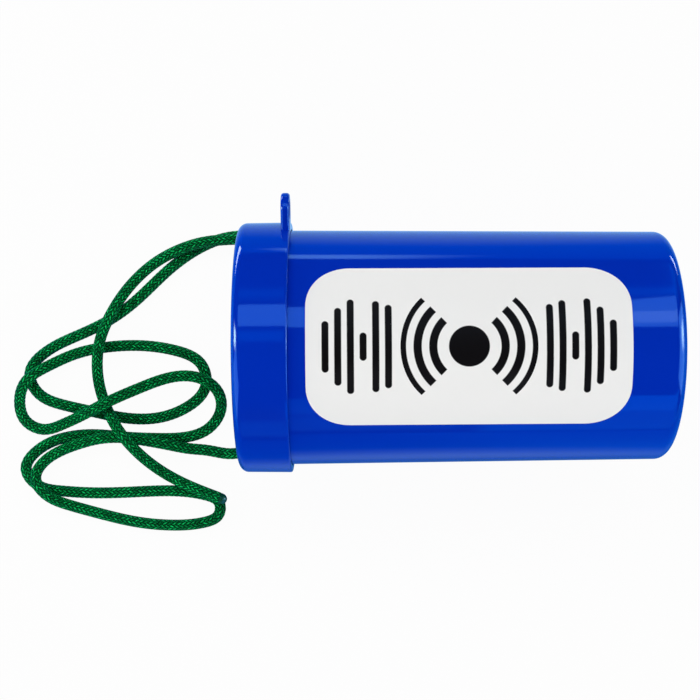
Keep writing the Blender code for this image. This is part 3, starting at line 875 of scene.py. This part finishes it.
@dataclass
class Mouthpiece:
    """The oval blow nozzle under the casing, with its collar inside."""

    horn: HornFrame
    length: float = 20.0 * MM
    width: float = 11.0 * MM
    wall: float = 1.6 * MM
    collar: float = 3.0 * MM
    collar_thickness: float = 1.6 * MM
    lip: float = 0.6 * MM

    def build(self, finishes: Finishes) -> bpy.types.Object:
        """The nozzle's fine mesh, its lip rounded."""
        low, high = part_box("mouthpiece")
        tip, back = low[2] - self.horn.z, high[2] - self.horn.z
        face = back - self.collar_thickness
        outer, bore = self.width / 2, self.width / 2 - self.wall
        lip = np.concatenate([
            arc(outer - self.lip, tip + self.lip, self.lip, 0, -90, 6),
            arc(bore + self.lip, tip + self.lip, self.lip, -90, -180, 6),
        ])
        profile = outline(
            straight((bore, back), (outer + self.collar, back), 0.0002),
            straight((outer + self.collar, back), (outer + self.collar, face), 0.0002),
            straight((outer + self.collar, face), (outer, face), 0.0002),
            straight((outer, face), tuple(lip[0]), 0.0002),
            lip,
            straight(tuple(lip[-1]), (bore, back), 0.0002)[:-1],
        )
        middle = (low[0] + high[0]) / 2 - self.horn.start
        item = oval_turned(self.horn, "blow_nozzle", profile, middle, self.length / 2 - outer)
        finishes.dress(item, Slot.BLUE)
        stand_for(item, HORN_BODY, "mouthpiece")
        return item


@dataclass
class Pipe:
    """The flaring inner pipe with its shoulder behind the end wall."""

    horn: HornFrame
    mouth: float = 12.0 * MM
    outlet: float = 19.0 * MM
    wall: float = 1.5 * MM
    shoulder: float = 3.0 * MM
    shoulder_thickness: float = 1.6 * MM
    lip: float = 0.45 * MM
    seal: str = "outlet_seal_ring"
    gap: float = 0.3 * MM

    def build(self, finishes: Finishes) -> bpy.types.Object:
        """The pipe's fine mesh."""
        low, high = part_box("horn_pipe")
        start, end = low[0] - self.horn.start, high[0] - self.horn.start
        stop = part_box(self.seal)[0][0] - self.horn.start - self.gap
        outer = self.outlet + self.wall
        edge = outer + self.shoulder
        front = stop - self.shoulder_thickness
        behind = self.mouth + (self.outlet - self.mouth) * (front - start) / (end - start) + self.wall
        outlet_lip = np.concatenate([
            arc(end - self.lip, self.outlet + self.lip, self.lip, -90, 0, 5),
            arc(end - self.lip, outer - self.lip, self.lip, 0, 90, 5),
        ])
        mouth_lip = arc(start + self.wall / 2, self.mouth + self.wall / 2, self.wall / 2, 90, 270, 10)
        profile = outline(
            outlet_lip,
            straight(tuple(outlet_lip[-1]), (stop, outer)),
            straight((stop, outer), (stop, edge)),
            straight((stop, edge), (front, edge)),
            straight((front, edge), (front, behind)),
            straight((front, behind), tuple(mouth_lip[0])),
            mouth_lip,
            straight(tuple(mouth_lip[-1]), tuple(outlet_lip[0])),
        )
        item = turned(self.horn, "sound_pipe", profile, segments=160)
        finishes.dress(item, Slot.BLACK)
        stand_for(item, HORN_BODY, "horn_pipe")
        return item


@dataclass
class Film:
    """The film that sounds, drawn over the pipe's mouth."""

    horn: HornFrame
    ripple: float = 0.05 * MM
    ripples: int = 14

    def build(self, finishes: Finishes) -> bpy.types.Object:
        """A thin disc whose rim is drawn in faint ripples: the height is a cosine round it times the radius squared."""
        low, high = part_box("diaphragm")
        radius = self.horn.radius_of("diaphragm")
        share = np.concatenate([np.linspace(0.0, 1.0, 16), np.linspace(1.0, 0.0, 16)])[:, None]
        near, far = low[0] - self.horn.start, high[0] - self.horn.start
        rest = np.concatenate([np.full(16, far), np.full(16, near)])[:, None]
        angle = np.linspace(0.0, 2 * math.pi, 128, endpoint=False)[None, :]
        inner = np.clip(1.0 - np.abs(share - 0.62) / 0.16, 0.0, 1.0)
        x = rest + self.ripple * np.cos(angle * self.ripples) * inner
        item = surface("sounding_film", self.horn.place(x, share * radius, angle), close_columns=True)
        finishes.dress(item, Slot.FILM)
        stand_for(item, HORN_BODY, "diaphragm")
        return item


@dataclass
class Sticker:
    """The printed sticker bent round the casing's upper side."""

    horn: HornFrame
    casing: Casing
    length: float = 88.0 * MM
    width: float = 46.0 * MM
    corner: float = 12.0 * MM
    gap: float = 0.05 * MM
    thickness: float = 0.15 * MM
    rings: int = 40

    def build(self, finishes: Finishes) -> bpy.types.Object:
        """Rings of a rounded rectangle from the middle outwards, wrapped so that a width s turns by s over the radius."""
        low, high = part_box("label_sticker")
        middle = (low[0] + high[0]) / 2 - self.horn.start
        edge = self.rounded_rectangle()
        share = np.concatenate([np.linspace(0.0, 1.0, self.rings), np.linspace(1.0, 0.0, self.rings)])
        level = np.concatenate([np.full(self.rings, self.thickness), np.zeros(self.rings)]) + self.gap
        flat = share[:, None, None] * edge[None]
        x = middle + flat[..., 0]
        radius = self.casing.radius(x)
        points = self.horn.place(x, radius + level[:, None], flat[..., 1] / radius)
        uv = np.pad(flat / MM, ((0, 1), (0, 1), (0, 0)), mode="wrap")
        item = surface("printed_sticker", points, close_columns=True, uv=uv, sharp=60.0)
        finishes.dress(item, Slot.VINYL)
        stand_for(item, HORN_BODY, "label_sticker")
        return item

    def rounded_rectangle(self, steps: int = 16, side: int = 24) -> np.ndarray:
        """The sticker's edge, laid flat, as (n, 2) points."""
        parts = []
        for across, up, start in ((1, 1, 0), (-1, 1, 90), (-1, -1, 180), (1, -1, 270)):
            centre = (across * (self.length / 2 - self.corner), up * (self.width / 2 - self.corner))
            parts.append(arc(centre[0], centre[1], self.corner, start, start + 90, steps))
        joined = []
        for here, there in zip(parts, parts[1:] + parts[:1]):
            joined.append(here)
            joined.append(here[-1] + (there[0] - here[-1]) * np.linspace(0, 1, side + 2)[1:-1, None])
        return np.concatenate(joined)


# ---- the lanyard


@dataclass
class Lanyard:
    """The braided cord, its stopper knot behind the hidden eyelet and its melted free end.

    The route is in millimetres: x from the cap's end, y from the horn's axis, z over the floor.
    """

    horn: HornFrame
    diameter: float = 3.5 * MM
    step: float = 0.268 * MM
    sides: int = 32
    valley: float = 1.70 * MM
    relief: float = 0.09 * MM
    strands: int = 12
    pitch: float = 1.5 * MM
    knot_lobe: float = 1.5 * MM
    knot_lift: float = 1.65 * MM
    knot_radius: float = 1.2 * MM
    gap: float = 0.3 * MM
    seal_length: float = 2.2 * MM
    tuck: float = 0.5 * MM
    route: tuple[tuple[float, float, float], ...] = (
        (17.0, -26.1, 4.7), (13.6, -26.1, 4.7), (10.4, -26.4, 4.6), (7.2, -27.8, 4.2),
        (3.4, -30.4, 3.2), (-6.3, -33.6, 1.9), (-13.3, -32.5, 2.0), (-18.9, -31.8, 3.4),
        (-24.9, -30.5, 5.4), (-32.7, -29.0, 5.7), (-41.2, -28.0, 5.7), (-47.9, -28.5, 5.5),
        (-54.0, -30.1, 4.8), (-60.0, -32.4, 3.6), (-65.0, -35.8, 4.3), (-67.2, -40.5, 5.8),
        (-63.9, -45.9, 5.6), (-57.6, -49.3, 3.4), (-48.3, -52.2, 1.9), (-36.6, -55.0, 1.8),
        (-23.9, -56.2, 1.8), (-14.4, -55.3, 1.8), (-10.0, -52.9, 1.8), (-9.9, -49.0, 1.8), (-14.0, -46.7, 1.8),
        (-22.3, -45.4, 1.8), (-35.0, -45.5, 1.8), (-49.3, -45.8, 1.8), (-60.4, -45.1, 1.8),
        (-67.5, -43.2, 1.8), (-71.1, -38.0, 1.8), (-67.0, -31.9, 1.8), (-58.7, -28.2, 1.8),
        (-49.2, -27.3, 1.8), (-39.7, -28.1, 1.8), (-29.2, -28.6, 1.8), (-20.6, -28.3, 1.8),
        (-13.6, -25.9, 1.8), (-9.1, -19.6, 2.3), (-10.3, -13.0, 4.8), (-15.9, -9.3, 6.0),
        (-24.1, -9.1, 5.6), (-34.0, -12.4, 7.6), (-44.0, -16.8, 9.7), (-52.0, -20.8, 7.0),
        (-59.3, -24.0, 3.8), (-65.7, -25.5, 2.1), (-71.2, -22.6, 2.1), (-72.7, -16.4, 3.2),
        (-69.3, -9.3, 5.8), (-63.5, -5.4, 3.8), (-55.4, -1.7, 1.9), (-45.8, 0.4, 1.8),
        (-34.7, 0.9, 1.8), (-23.6, -0.7, 1.8), (-15.1, -5.4, 1.8), (-14.0, -12.3, 1.8),
        (-20.2, -18.9, 1.8), (-30.1, -22.2, 1.8), (-40.6, -21.9, 1.8), (-50.7, -19.8, 1.8),
        (-59.6, -17.7, 1.8), (-67.1, -14.0, 1.8), (-69.7, -7.7, 1.8), (-64.9, -1.2, 1.8),
        (-55.4, 3.8, 1.8), (-44.5, 9.0, 1.8), (-35.0, 16.0, 1.8), (-25.7, 24.7, 1.8),
        (-16.8, 31.1, 1.8), (-6.6, 35.1, 1.8), (9.0, 35.0, 1.8), (20.5, 33.6, 1.8),
        (27.5, 27.0, 1.8), (24.5, 19.6, 1.9), (16.0, 20.6, 2.4), (9.0, 27.5, 4.2),
        (2.5, 33.2, 5.7), (-6.2, 34.1, 5.8), (-14.1, 33.3, 5.7), (-22.9, 30.6, 4.5),
        (-31.4, 25.9, 2.2), (-38.6, 18.6, 3.1), (-43.4, 10.5, 5.8), (-46.3, 3.8, 6.0),
        (-47.7, -4.4, 5.3), (-47.0, -12.0, 5.0), (-44.1, -20.0, 5.9), (-38.7, -27.8, 9.6),
        (-32.3, -35.0, 6.8), (-25.2, -40.4, 4.2), (-16.8, -44.3, 5.5), (-9.4, -47.2, 5.6),
    )

    def build(self, finishes: Finishes) -> bpy.types.Object:
        """The cord, its knot and its end."""
        path = smooth_curve(np.array(self.route) * MM + [self.horn.start, self.horn.y, 0.0], self.step)
        cord = self.braided("braided_lanyard", path, self.valley, self.relief, 1.0)
        knot = self.knot(path)
        seal = self.seal(path)
        for item, slot, node in ((cord, Slot.CORD, "lanyard_cord"), (knot, Slot.CORD, "lanyard_stopper_knot"),
                                 (seal, Slot.MELTED, "lanyard_end_seal")):
            finishes.dress(item, slot)
            stand_for(item, CAP_BODY, node)
        return cord

    def braided(
        self, name: str, path: np.ndarray, valley: float, relief: float, scale: float, closed: bool = False
    ) -> bpy.types.Object:
        """A braided tube along a path.

        The radius is the valley plus the relief of the strand on top. u counts strands round the tube and v
        along it; u + v and u - v number the two families, each over two and under two of the other.

        Args:
            name: the object's name.
            path: (n, 3) points.
            valley: radius between the strands.
            relief: height of a strand over it.
            scale: size of the braid's pitch.
            closed: whether the path is a ring.

        Returns:
            The object.
        """
        along, beside, over = directions(path, closed)
        steps = np.linalg.norm(np.diff(path, axis=0), axis=1)
        run = np.concatenate([[0.0], np.cumsum(steps)]) / (self.pitch * scale)
        angle = np.linspace(0.0, 2 * math.pi, self.sides, endpoint=False)
        u = (angle / (2 * math.pi) * self.strands)[None, :]
        first, second = u + run[:, None], u - run[:, None]
        turn = (np.floor(first) + np.floor(second)) % 4
        across, start = np.where(turn > 1.5, (second, first), (first, second)) % 1
        lengthwise = (start + turn % 2) / 2
        radius = valley + relief * np.sin(np.pi * across) ** 0.9 * np.sin(np.pi * lengthwise) ** 0.6
        points = path[:, None, :] + radius[..., None] * (
            np.cos(angle)[None, :, None] * beside[:, None, :] + np.sin(angle)[None, :, None] * over[:, None, :]
        )
        uv_run = np.concatenate([run, [run[-1] + (run[1] - run[0])]])
        uv_turn = np.linspace(0.0, self.strands, self.sides + 1)
        uv = np.stack(np.meshgrid(uv_turn, uv_run), axis=-1)
        if not closed:
            points = np.concatenate([np.repeat(path[:1, None], self.sides, 1), points,
                                     np.repeat(path[-1:, None], self.sides, 1)])
            uv = np.concatenate([uv[:1], uv, uv[-1:]])
        return surface(name, points, close_rows=closed, close_columns=True, uv=uv, sharp=180.0)

    def knot(self, path: np.ndarray) -> bpy.types.Object:
        """The stopper knot: a flat trefoil whose lobes run sin t + 2 sin 2t and cos t - 2 cos 2t."""
        turn = np.linspace(0.0, 2 * math.pi, 300, endpoint=False)
        ring = np.stack([
            self.knot_lobe * (np.sin(turn) + 2 * np.sin(2 * turn)),
            self.knot_lobe * (np.cos(turn) - 2 * np.cos(2 * turn)),
            -self.knot_lift * np.sin(3 * turn),
        ], axis=1)
        reach = 3 * self.knot_lobe + self.knot_radius + self.gap
        ring += path[0] + [reach, 0.0, 0.0]
        return self.braided("stopper_knot", ring, self.knot_radius - 0.1 * MM, 0.1 * MM, 0.75, closed=True)

    def seal(self, path: np.ndarray) -> bpy.types.Object:
        """The melted end: a short rod whose radius falls to its tip like a quarter of an ellipse, a little lumpy."""
        along, beside, over = directions(path)
        share = np.linspace(0.0, 1.0, 28)[:, None]
        angle = np.linspace(0.0, 2 * math.pi, 40, endpoint=False)[None, :]
        round_end = np.sqrt(np.clip(1.0 - np.clip((share - 0.45) / 0.55, 0.0, 1.0) ** 2, 0.0, 1.0))
        lumps = 1.0 - 0.05 * (1.0 + np.sin(3 * angle + 5 * share)) * share
        front = np.clip(share / 0.08, 0.0, 1.0)
        radius = self.diameter / 2 * 0.96 * round_end * lumps * front
        spine = path[-1] + along[-1] * (share * (self.gap + self.seal_length + self.tuck) - self.tuck)
        points = spine[:, None, :] + radius[..., None] * (
            np.cos(angle)[..., None] * beside[-1] + np.sin(angle)[..., None] * over[-1]
        )
        return surface("melted_end", points, close_columns=True, sharp=60.0)


# ---- pieces kept from the solids


@dataclass(frozen=True)
class KeptPieces:
    """Plain rings whose solids are right as they are and only get their finishes."""

    slots: tuple[tuple[str, Slot], ...] = (
        ("pipe_centring_ring", Slot.BLACK),
        ("outlet_seal_ring", Slot.RUBBER),
        ("diaphragm_clamp_ring", Slot.WHITE),
        ("cap_gasket", Slot.RUBBER),
        ("mouthpiece_gasket", Slot.RUBBER),
    )

    def dress(self, finishes: Finishes) -> None:
        """Give each kept node its finish."""
        for name, slot in self.slots:
            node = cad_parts[name]
            node.data.materials.clear()
            node.data.materials.append(finishes.made[slot])
            LOG.info("%s: kept, %s", name, slot.value)


# ---- studio


WHITE_LIGHT = (1.0, 1.0, 1.0)
WARM_LIGHT = (1.0, 1.0, 0.7)
COOL_LIGHT = (0.35, 0.8, 1.0)
BAND_LIGHT = (0.2, 0.55, 1.0)
DEEP_LIGHT = (0.0, 0.32, 1.0)


class Panel(Enum):
    """What a light panel does: a lamp does all, a card only shows in the gloss, a fill only lights."""

    LAMP = "lamp"
    CARD = "card"
    FILL = "fill"


@dataclass(frozen=True)
class Softbox:
    """A soft light panel.

    Attributes:
        name: the lamp's name.
        place: where it stands, in metres.
        target: where it points.
        size: its width and height.
        radiance: how bright its face is; 1 is white.
        kind: what it does.
        colour: colour of its light.
        roll: turn about its own middle, in degrees.
        soft: share of its width and of its height over which it fades towards its edges.
        slant: a slanted lower edge as its height at the first side, rise to the other side and most, in shares.
    """

    name: str
    place: tuple[float, float, float]
    target: tuple[float, float, float]
    size: tuple[float, float]
    radiance: float
    kind: Panel = Panel.LAMP
    colour: tuple[float, float, float] = WHITE_LIGHT
    roll: float = 0.0
    soft: tuple[float, float] | None = None
    slant: tuple[float, float, float] | None = None

    def shape(self, nodes: Nodes) -> bpy.types.NodeSocket:
        """How bright each place of the panel is, from its edges' fading and its slanted edge."""
        across, up, _ = nodes.split(nodes.node("ShaderNodeNewGeometry").outputs["Parametric"])
        level = nodes.math("GREATER_THAN", across, -1.0)
        for place, share in zip((across, up), self.soft or ()):
            near = nodes.math("SUBTRACT", 0.5, nodes.math("ABSOLUTE", nodes.math("SUBTRACT", place, 0.5)))
            level = nodes.math("MULTIPLY", level, nodes.spread(near, 0.0, share, 0.0, 1.0))
        if self.slant:
            start, rise, most = self.slant
            line = nodes.math("MINIMUM", nodes.math("MULTIPLY_ADD", across, rise, start), most)
            level = nodes.math("MULTIPLY", level, nodes.spread(nodes.math("SUBTRACT", up, line), -0.02, 0.02, 0.0, 1.0))
        return level

    def build(self) -> bpy.types.Object:
        """The lamp. A panel's power is its radiance times its area times pi."""
        data = bpy.data.lights.new(self.name, "AREA")
        data.shape = "RECTANGLE"
        data.size, data.size_y = self.size
        data.energy = self.radiance * self.size[0] * self.size[1] * math.pi
        data.color = self.colour
        if self.soft or self.slant:
            data.use_nodes = True
            nodes = Nodes(data.node_tree)
            nodes.feed(data.node_tree.nodes["Emission"].inputs["Strength"], self.shape(nodes))
        item = bpy.data.objects.new(self.name, data)
        item.location = self.place
        aim = Vector(self.target) - Vector(self.place)
        turn = aim.to_track_quat("-Z", "Y") @ Quaternion((0.0, 0.0, 1.0), math.radians(self.roll))
        item.rotation_euler = turn.to_euler()
        item.visible_camera = False
        item.visible_diffuse = self.kind is not Panel.CARD
        item.visible_glossy = self.kind is not Panel.FILL
        bpy.context.scene.collection.objects.link(item)
        return item


@dataclass
class Studio:
    """Camera, floor, world and lamps."""

    horn: HornFrame
    camera_x: float = 31.995 * MM
    camera_y: float = -0.87 * MM
    camera_height: float = 400.0 * MM
    camera_roll: float = -0.0056
    focal_pixels: float = 1367.6
    picture_pixels: float = 700.0
    sensor: float = 36.0
    floor_size: float = 12.0
    lamps: tuple[Softbox, ...] = (
        Softbox("band_fill", (0.0, 0.435, 0.828), (0.0, 0.0, 0.04), (1.0, 0.285), 3.6, Panel.FILL),
        Softbox("left_fill", (-0.80, 0.05, 0.32), (-0.05, -0.02, 0.0), (0.4, 0.3), 3.0, Panel.FILL),
        Softbox("back_fill", (-0.62, 0.50, 0.60), (-0.05, 0.0, 0.02), (0.28, 0.28), 4.5, Panel.FILL),
        Softbox("south_fill", (0.10, -0.90, 0.30), (0.0, 0.0, 0.03), (1.2, 0.6), 1.9, Panel.FILL),
        Softbox("band", (-0.20, 0.425, 0.834), (-0.20, 0.0, 0.04), (0.6, 0.308), 4.1, Panel.CARD, BAND_LIGHT),
        Softbox("band_right", (0.30, 0.494, 0.788), (0.30, 0.01, 0.065), (0.4, 0.506), 4.3, Panel.CARD, BAND_LIGHT,
                slant=(-0.614, 1.185, 0.355)),
        Softbox("band_end", (0.345, 0.430, 0.822), (0.345, 0.0, 0.04), (0.34, 0.19), 1.6, Panel.CARD, roll=16.0,
                soft=(0.2, 0.1)),
        Softbox("band_glow", (0.36, 0.718, 0.570), (0.36, 0.01, 0.065), (0.4, 0.23), 1.4, Panel.CARD, DEEP_LIGHT,
                soft=(0.2, 0.4)),
        Softbox("back_right", (0.50, 0.80, 0.33), (0.50, 0.0, 0.04), (0.48, 0.60), 1.6, Panel.CARD, DEEP_LIGHT,
                soft=(0.05, 0.1)),
        Softbox("cap_high", (-0.27, 0.15, 0.925), (-0.27, 0.0, 0.04), (0.37, 0.20), 1.7, Panel.CARD, DEEP_LIGHT,
                soft=(0.02, 0.3)),
        Softbox("cap_low", (-0.27, 0.66, 0.63), (-0.27, 0.0, 0.04), (0.37, 0.28), 1.3, Panel.CARD, DEEP_LIGHT,
                soft=(0.02, 0.5)),
        Softbox("south_high_left", (0.0, -0.853, 0.562), (0.0, 0.0, 0.06), (0.17, 0.30), 1.5, Panel.CARD, DEEP_LIGHT),
        Softbox("south_high_right", (0.50, -0.853, 0.562), (0.50, 0.0, 0.06), (0.80, 0.30), 3.1, Panel.CARD, DEEP_LIGHT),
        Softbox("south_low_left", (-0.20, -0.972, 0.250), (-0.20, 0.0, 0.06), (0.60, 0.37), 1.0, Panel.CARD, DEEP_LIGHT,
                soft=(0.02, 0.2)),
        Softbox("south_low_right", (0.50, -0.972, 0.230), (0.50, 0.0, 0.06), (0.80, 0.42), 1.8, Panel.CARD, DEEP_LIGHT,
                soft=(0.02, 0.04)),
        Softbox("left", (-0.73, -0.345, 0.43), (-0.06, 0.0, 0.04), (0.70, 0.92), 5.0, Panel.CARD, BAND_LIGHT,
                soft=(0.1, 0.15)),
        Softbox("left_spot", (-0.78, 0.095, 0.42), (-0.06, 0.0, 0.07), (0.30, 0.62), 30.0, Panel.CARD, WARM_LIGHT,
                soft=(0.45, 0.4)),
        Softbox("right", (0.75, -0.05, 0.42), (0.0, -0.05, 0.03), (1.0, 0.95), 7.0, Panel.CARD, BAND_LIGHT,
                soft=(0.1, 0.2)),
        Softbox("right_spot", (0.74, 0.09, 0.33), (0.0, 0.0, 0.03), (0.36, 0.42), 17.0, Panel.CARD, WARM_LIGHT,
                soft=(0.45, 0.4)),
        Softbox("back_glow_left", (-0.19, 0.21, 0.004), (-0.19, 0.21, 1.0), (0.14, 0.14), 10.0, Panel.CARD),
        Softbox("back_glow_right", (0.19, 0.17, 0.004), (0.19, 0.17, 1.0), (0.08, 0.08), 9.0, Panel.CARD),
    )

    def build(self) -> None:
        """Build it all."""
        self.camera()
        self.floor()
        self.world()
        for lamp in self.lamps:
            lamp.build()
        bpy.context.scene.view_settings.view_transform = "Standard"
        LOG.info("studio: camera, floor, world and %d lamps", len(self.lamps))

    def camera(self) -> None:
        """A camera straight above the horn. Its lens is the fitted focal length on the sensor."""
        data = bpy.data.cameras.new("camera")
        data.sensor_width = self.sensor
        data.lens = self.focal_pixels / self.picture_pixels * self.sensor
        data.clip_start, data.clip_end = 0.01, 50.0
        item = bpy.data.objects.new("camera", data)
        item.location = (self.horn.start + self.camera_x, self.horn.y + self.camera_y, self.horn.z + self.camera_height)
        item.rotation_euler = (0.0, 0.0, self.camera_roll)
        bpy.context.scene.collection.objects.link(item)
        bpy.context.scene.camera = item

    def floor(self) -> None:
        """A wide pale floor, nearly white to the camera, that keeps a soft shadow. To glossy rays it glows with painted
        reflections.
        """
        half = self.floor_size / 2
        side = np.linspace(-half, half, 3)
        x, y = np.meshgrid(side, side, indexing="ij")
        item = surface("floor", np.stack([x, y, np.full_like(x, -0.0001)], axis=-1))
        material, nodes, shader = new_material("pale_floor")
        shader.inputs["Base Color"].default_value = (0.7, 0.7, 0.7, 1.0)
        shader.inputs["Roughness"].default_value = 0.9
        shader.inputs["Specular IOR Level"].default_value = 0.0
        glow = nodes.node("ShaderNodeEmission")
        path = nodes.node("ShaderNodeLightPath")
        mirror = nodes.math("MAXIMUM", path.outputs["Is Glossy Ray"], path.outputs["Is Transmission Ray"])
        # To glossy rays the floor glows with painted reflections; to the camera it glows white.
        nodes.feed(glow.inputs["Color"], nodes.mix(path.outputs["Is Camera Ray"], self.painted_reflections(nodes),
                                                   (1.0, 1.0, 1.0, 1.0)))
        seen = nodes.math("MULTIPLY_ADD", path.outputs["Is Camera Ray"], 0.96, mirror)
        share = nodes.node("ShaderNodeMixShader")
        nodes.feed(share.inputs[0], seen)
        nodes.feed(share.inputs[1], shader.outputs[0])
        nodes.feed(share.inputs[2], glow.outputs[0])
        output = material.node_tree.nodes["Material Output"]
        nodes.feed(output.inputs["Surface"], share.outputs[0])
        item.data.materials.append(material)

    def painted_reflections(self, nodes: Nodes) -> bpy.types.NodeSocket:
        """The floor's glow to glossy rays, all painted reflections: deep blue, paler round the horn and to both ends, a
        painted shadow beside the horn on the -Y side, near black far out, with one bright painted strip.
        """
        x, y, _ = nodes.split(nodes.coordinates("Object"))
        across, away = nodes.math("ABSOLUTE", x), nodes.math("ABSOLUTE", y)
        reach = nodes.math("SQRT", nodes.math("ADD", nodes.math("MULTIPLY", x, x), nodes.math("MULTIPLY", y, y)))
        front = nodes.mix(nodes.spread(x, -0.03, 0.07, 0.0, 1.0), (0.0, 0.18, 0.9, 1.0), (0.01, 0.36, 1.4, 1.0))
        far = nodes.mix(nodes.spread(y, -0.02, 0.02, 0.0, 1.0), front, (0.0, 0.30, 1.38, 1.0))
        # Painted shadow: the glow turns dark just beside the horn on the -Y side.
        shadow = nodes.math("MULTIPLY", nodes.spread(y, -0.088, -0.055, 0.0, 1.0), nodes.math("LESS_THAN", y, 0.0))
        near = nodes.mix(shadow, (0.3, 0.6, 1.05, 1.0), (0.04, 0.18, 0.45, 1.0))
        plain = nodes.mix(nodes.spread(reach, 0.07, 0.15, 0.0, 1.0), near, far)
        # Far out to both sides the glow fades to near black, a painted dark in the reflections.
        rim = nodes.math("MAXIMUM", y, nodes.math("MULTIPLY", y, -0.65))
        edge = nodes.mix(nodes.spread(rim, 0.62, 0.78, 0.0, 1.0), plain, (0.0, 0.02, 0.06, 1.0))
        # A painted bright strip behind the horn, seen as a thin highlight on its gloss.
        strip = nodes.math("MULTIPLY", nodes.spread(y, 0.30, 0.36, 0.0, 1.0), nodes.spread(y, 0.62, 0.76, 1.0, 0.0))
        strip = nodes.math("MULTIPLY", strip, nodes.spread(x, -0.085, -0.06, 0.0, 1.0))
        strip = nodes.math("MULTIPLY", strip, nodes.spread(x, -0.035, 0.06, 1.0, 0.0))
        lined = nodes.mix(strip, edge, (1.3, 2.7, 4.0, 1.0))
        # Painted bright reflections towards both ends of the horn.
        ends = nodes.math("MULTIPLY_ADD", away, -0.6, across)
        ends = nodes.math("SUBTRACT", ends, nodes.spread(x, -0.01, 0.01, 0.0, 0.1))
        ends = nodes.math("MULTIPLY", nodes.spread(ends, 0.1, 0.2, 0.0, 1.0), nodes.spread(y, 0.02, 0.1, 1.0, 0.3))
        return nodes.mix(ends, lined, (0.05, 1.0, 3.0, 1.0))

    def world(self) -> None:
        """An even grey light from all round, dark in reflections, white to the camera."""
        world = bpy.data.worlds.new("studio_world")
        bpy.context.scene.world = world
        world.use_nodes = True
        nodes = Nodes(world.node_tree)
        background = world.node_tree.nodes["Background"]
        path = nodes.node("ShaderNodeLightPath")
        level = nodes.math("MULTIPLY_ADD", path.outputs["Is Camera Ray"], 0.58, 0.42)
        level = nodes.math("MULTIPLY", level, nodes.math("SUBTRACT", 1.0, nodes.math(
            "MULTIPLY", path.outputs["Is Glossy Ray"], 0.96)))
        nodes.feed(background.inputs["Strength"], level)
        background.inputs["Color"].default_value = (1.0, 1.0, 1.0, 1.0)


def main() -> None:
    """Build the horn, the lanyard and the studio."""
    logging.basicConfig(level=logging.INFO, format="%(name)s %(message)s")
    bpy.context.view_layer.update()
    horn = HornFrame.from_nodes()
    finishes = Finishes()
    Studio(horn).build()
    Lanyard(horn).build(finishes)
    casing = Casing(horn)
    casing.build(finishes)
    Cap(horn).build(finishes)
    Mouthpiece(horn).build(finishes)
    Pipe(horn).build(finishes)
    Film(horn).build(finishes)
    Sticker(horn, casing).build(finishes)
    KeptPieces().dress(finishes)


if __name__ == "__main__":
    main()
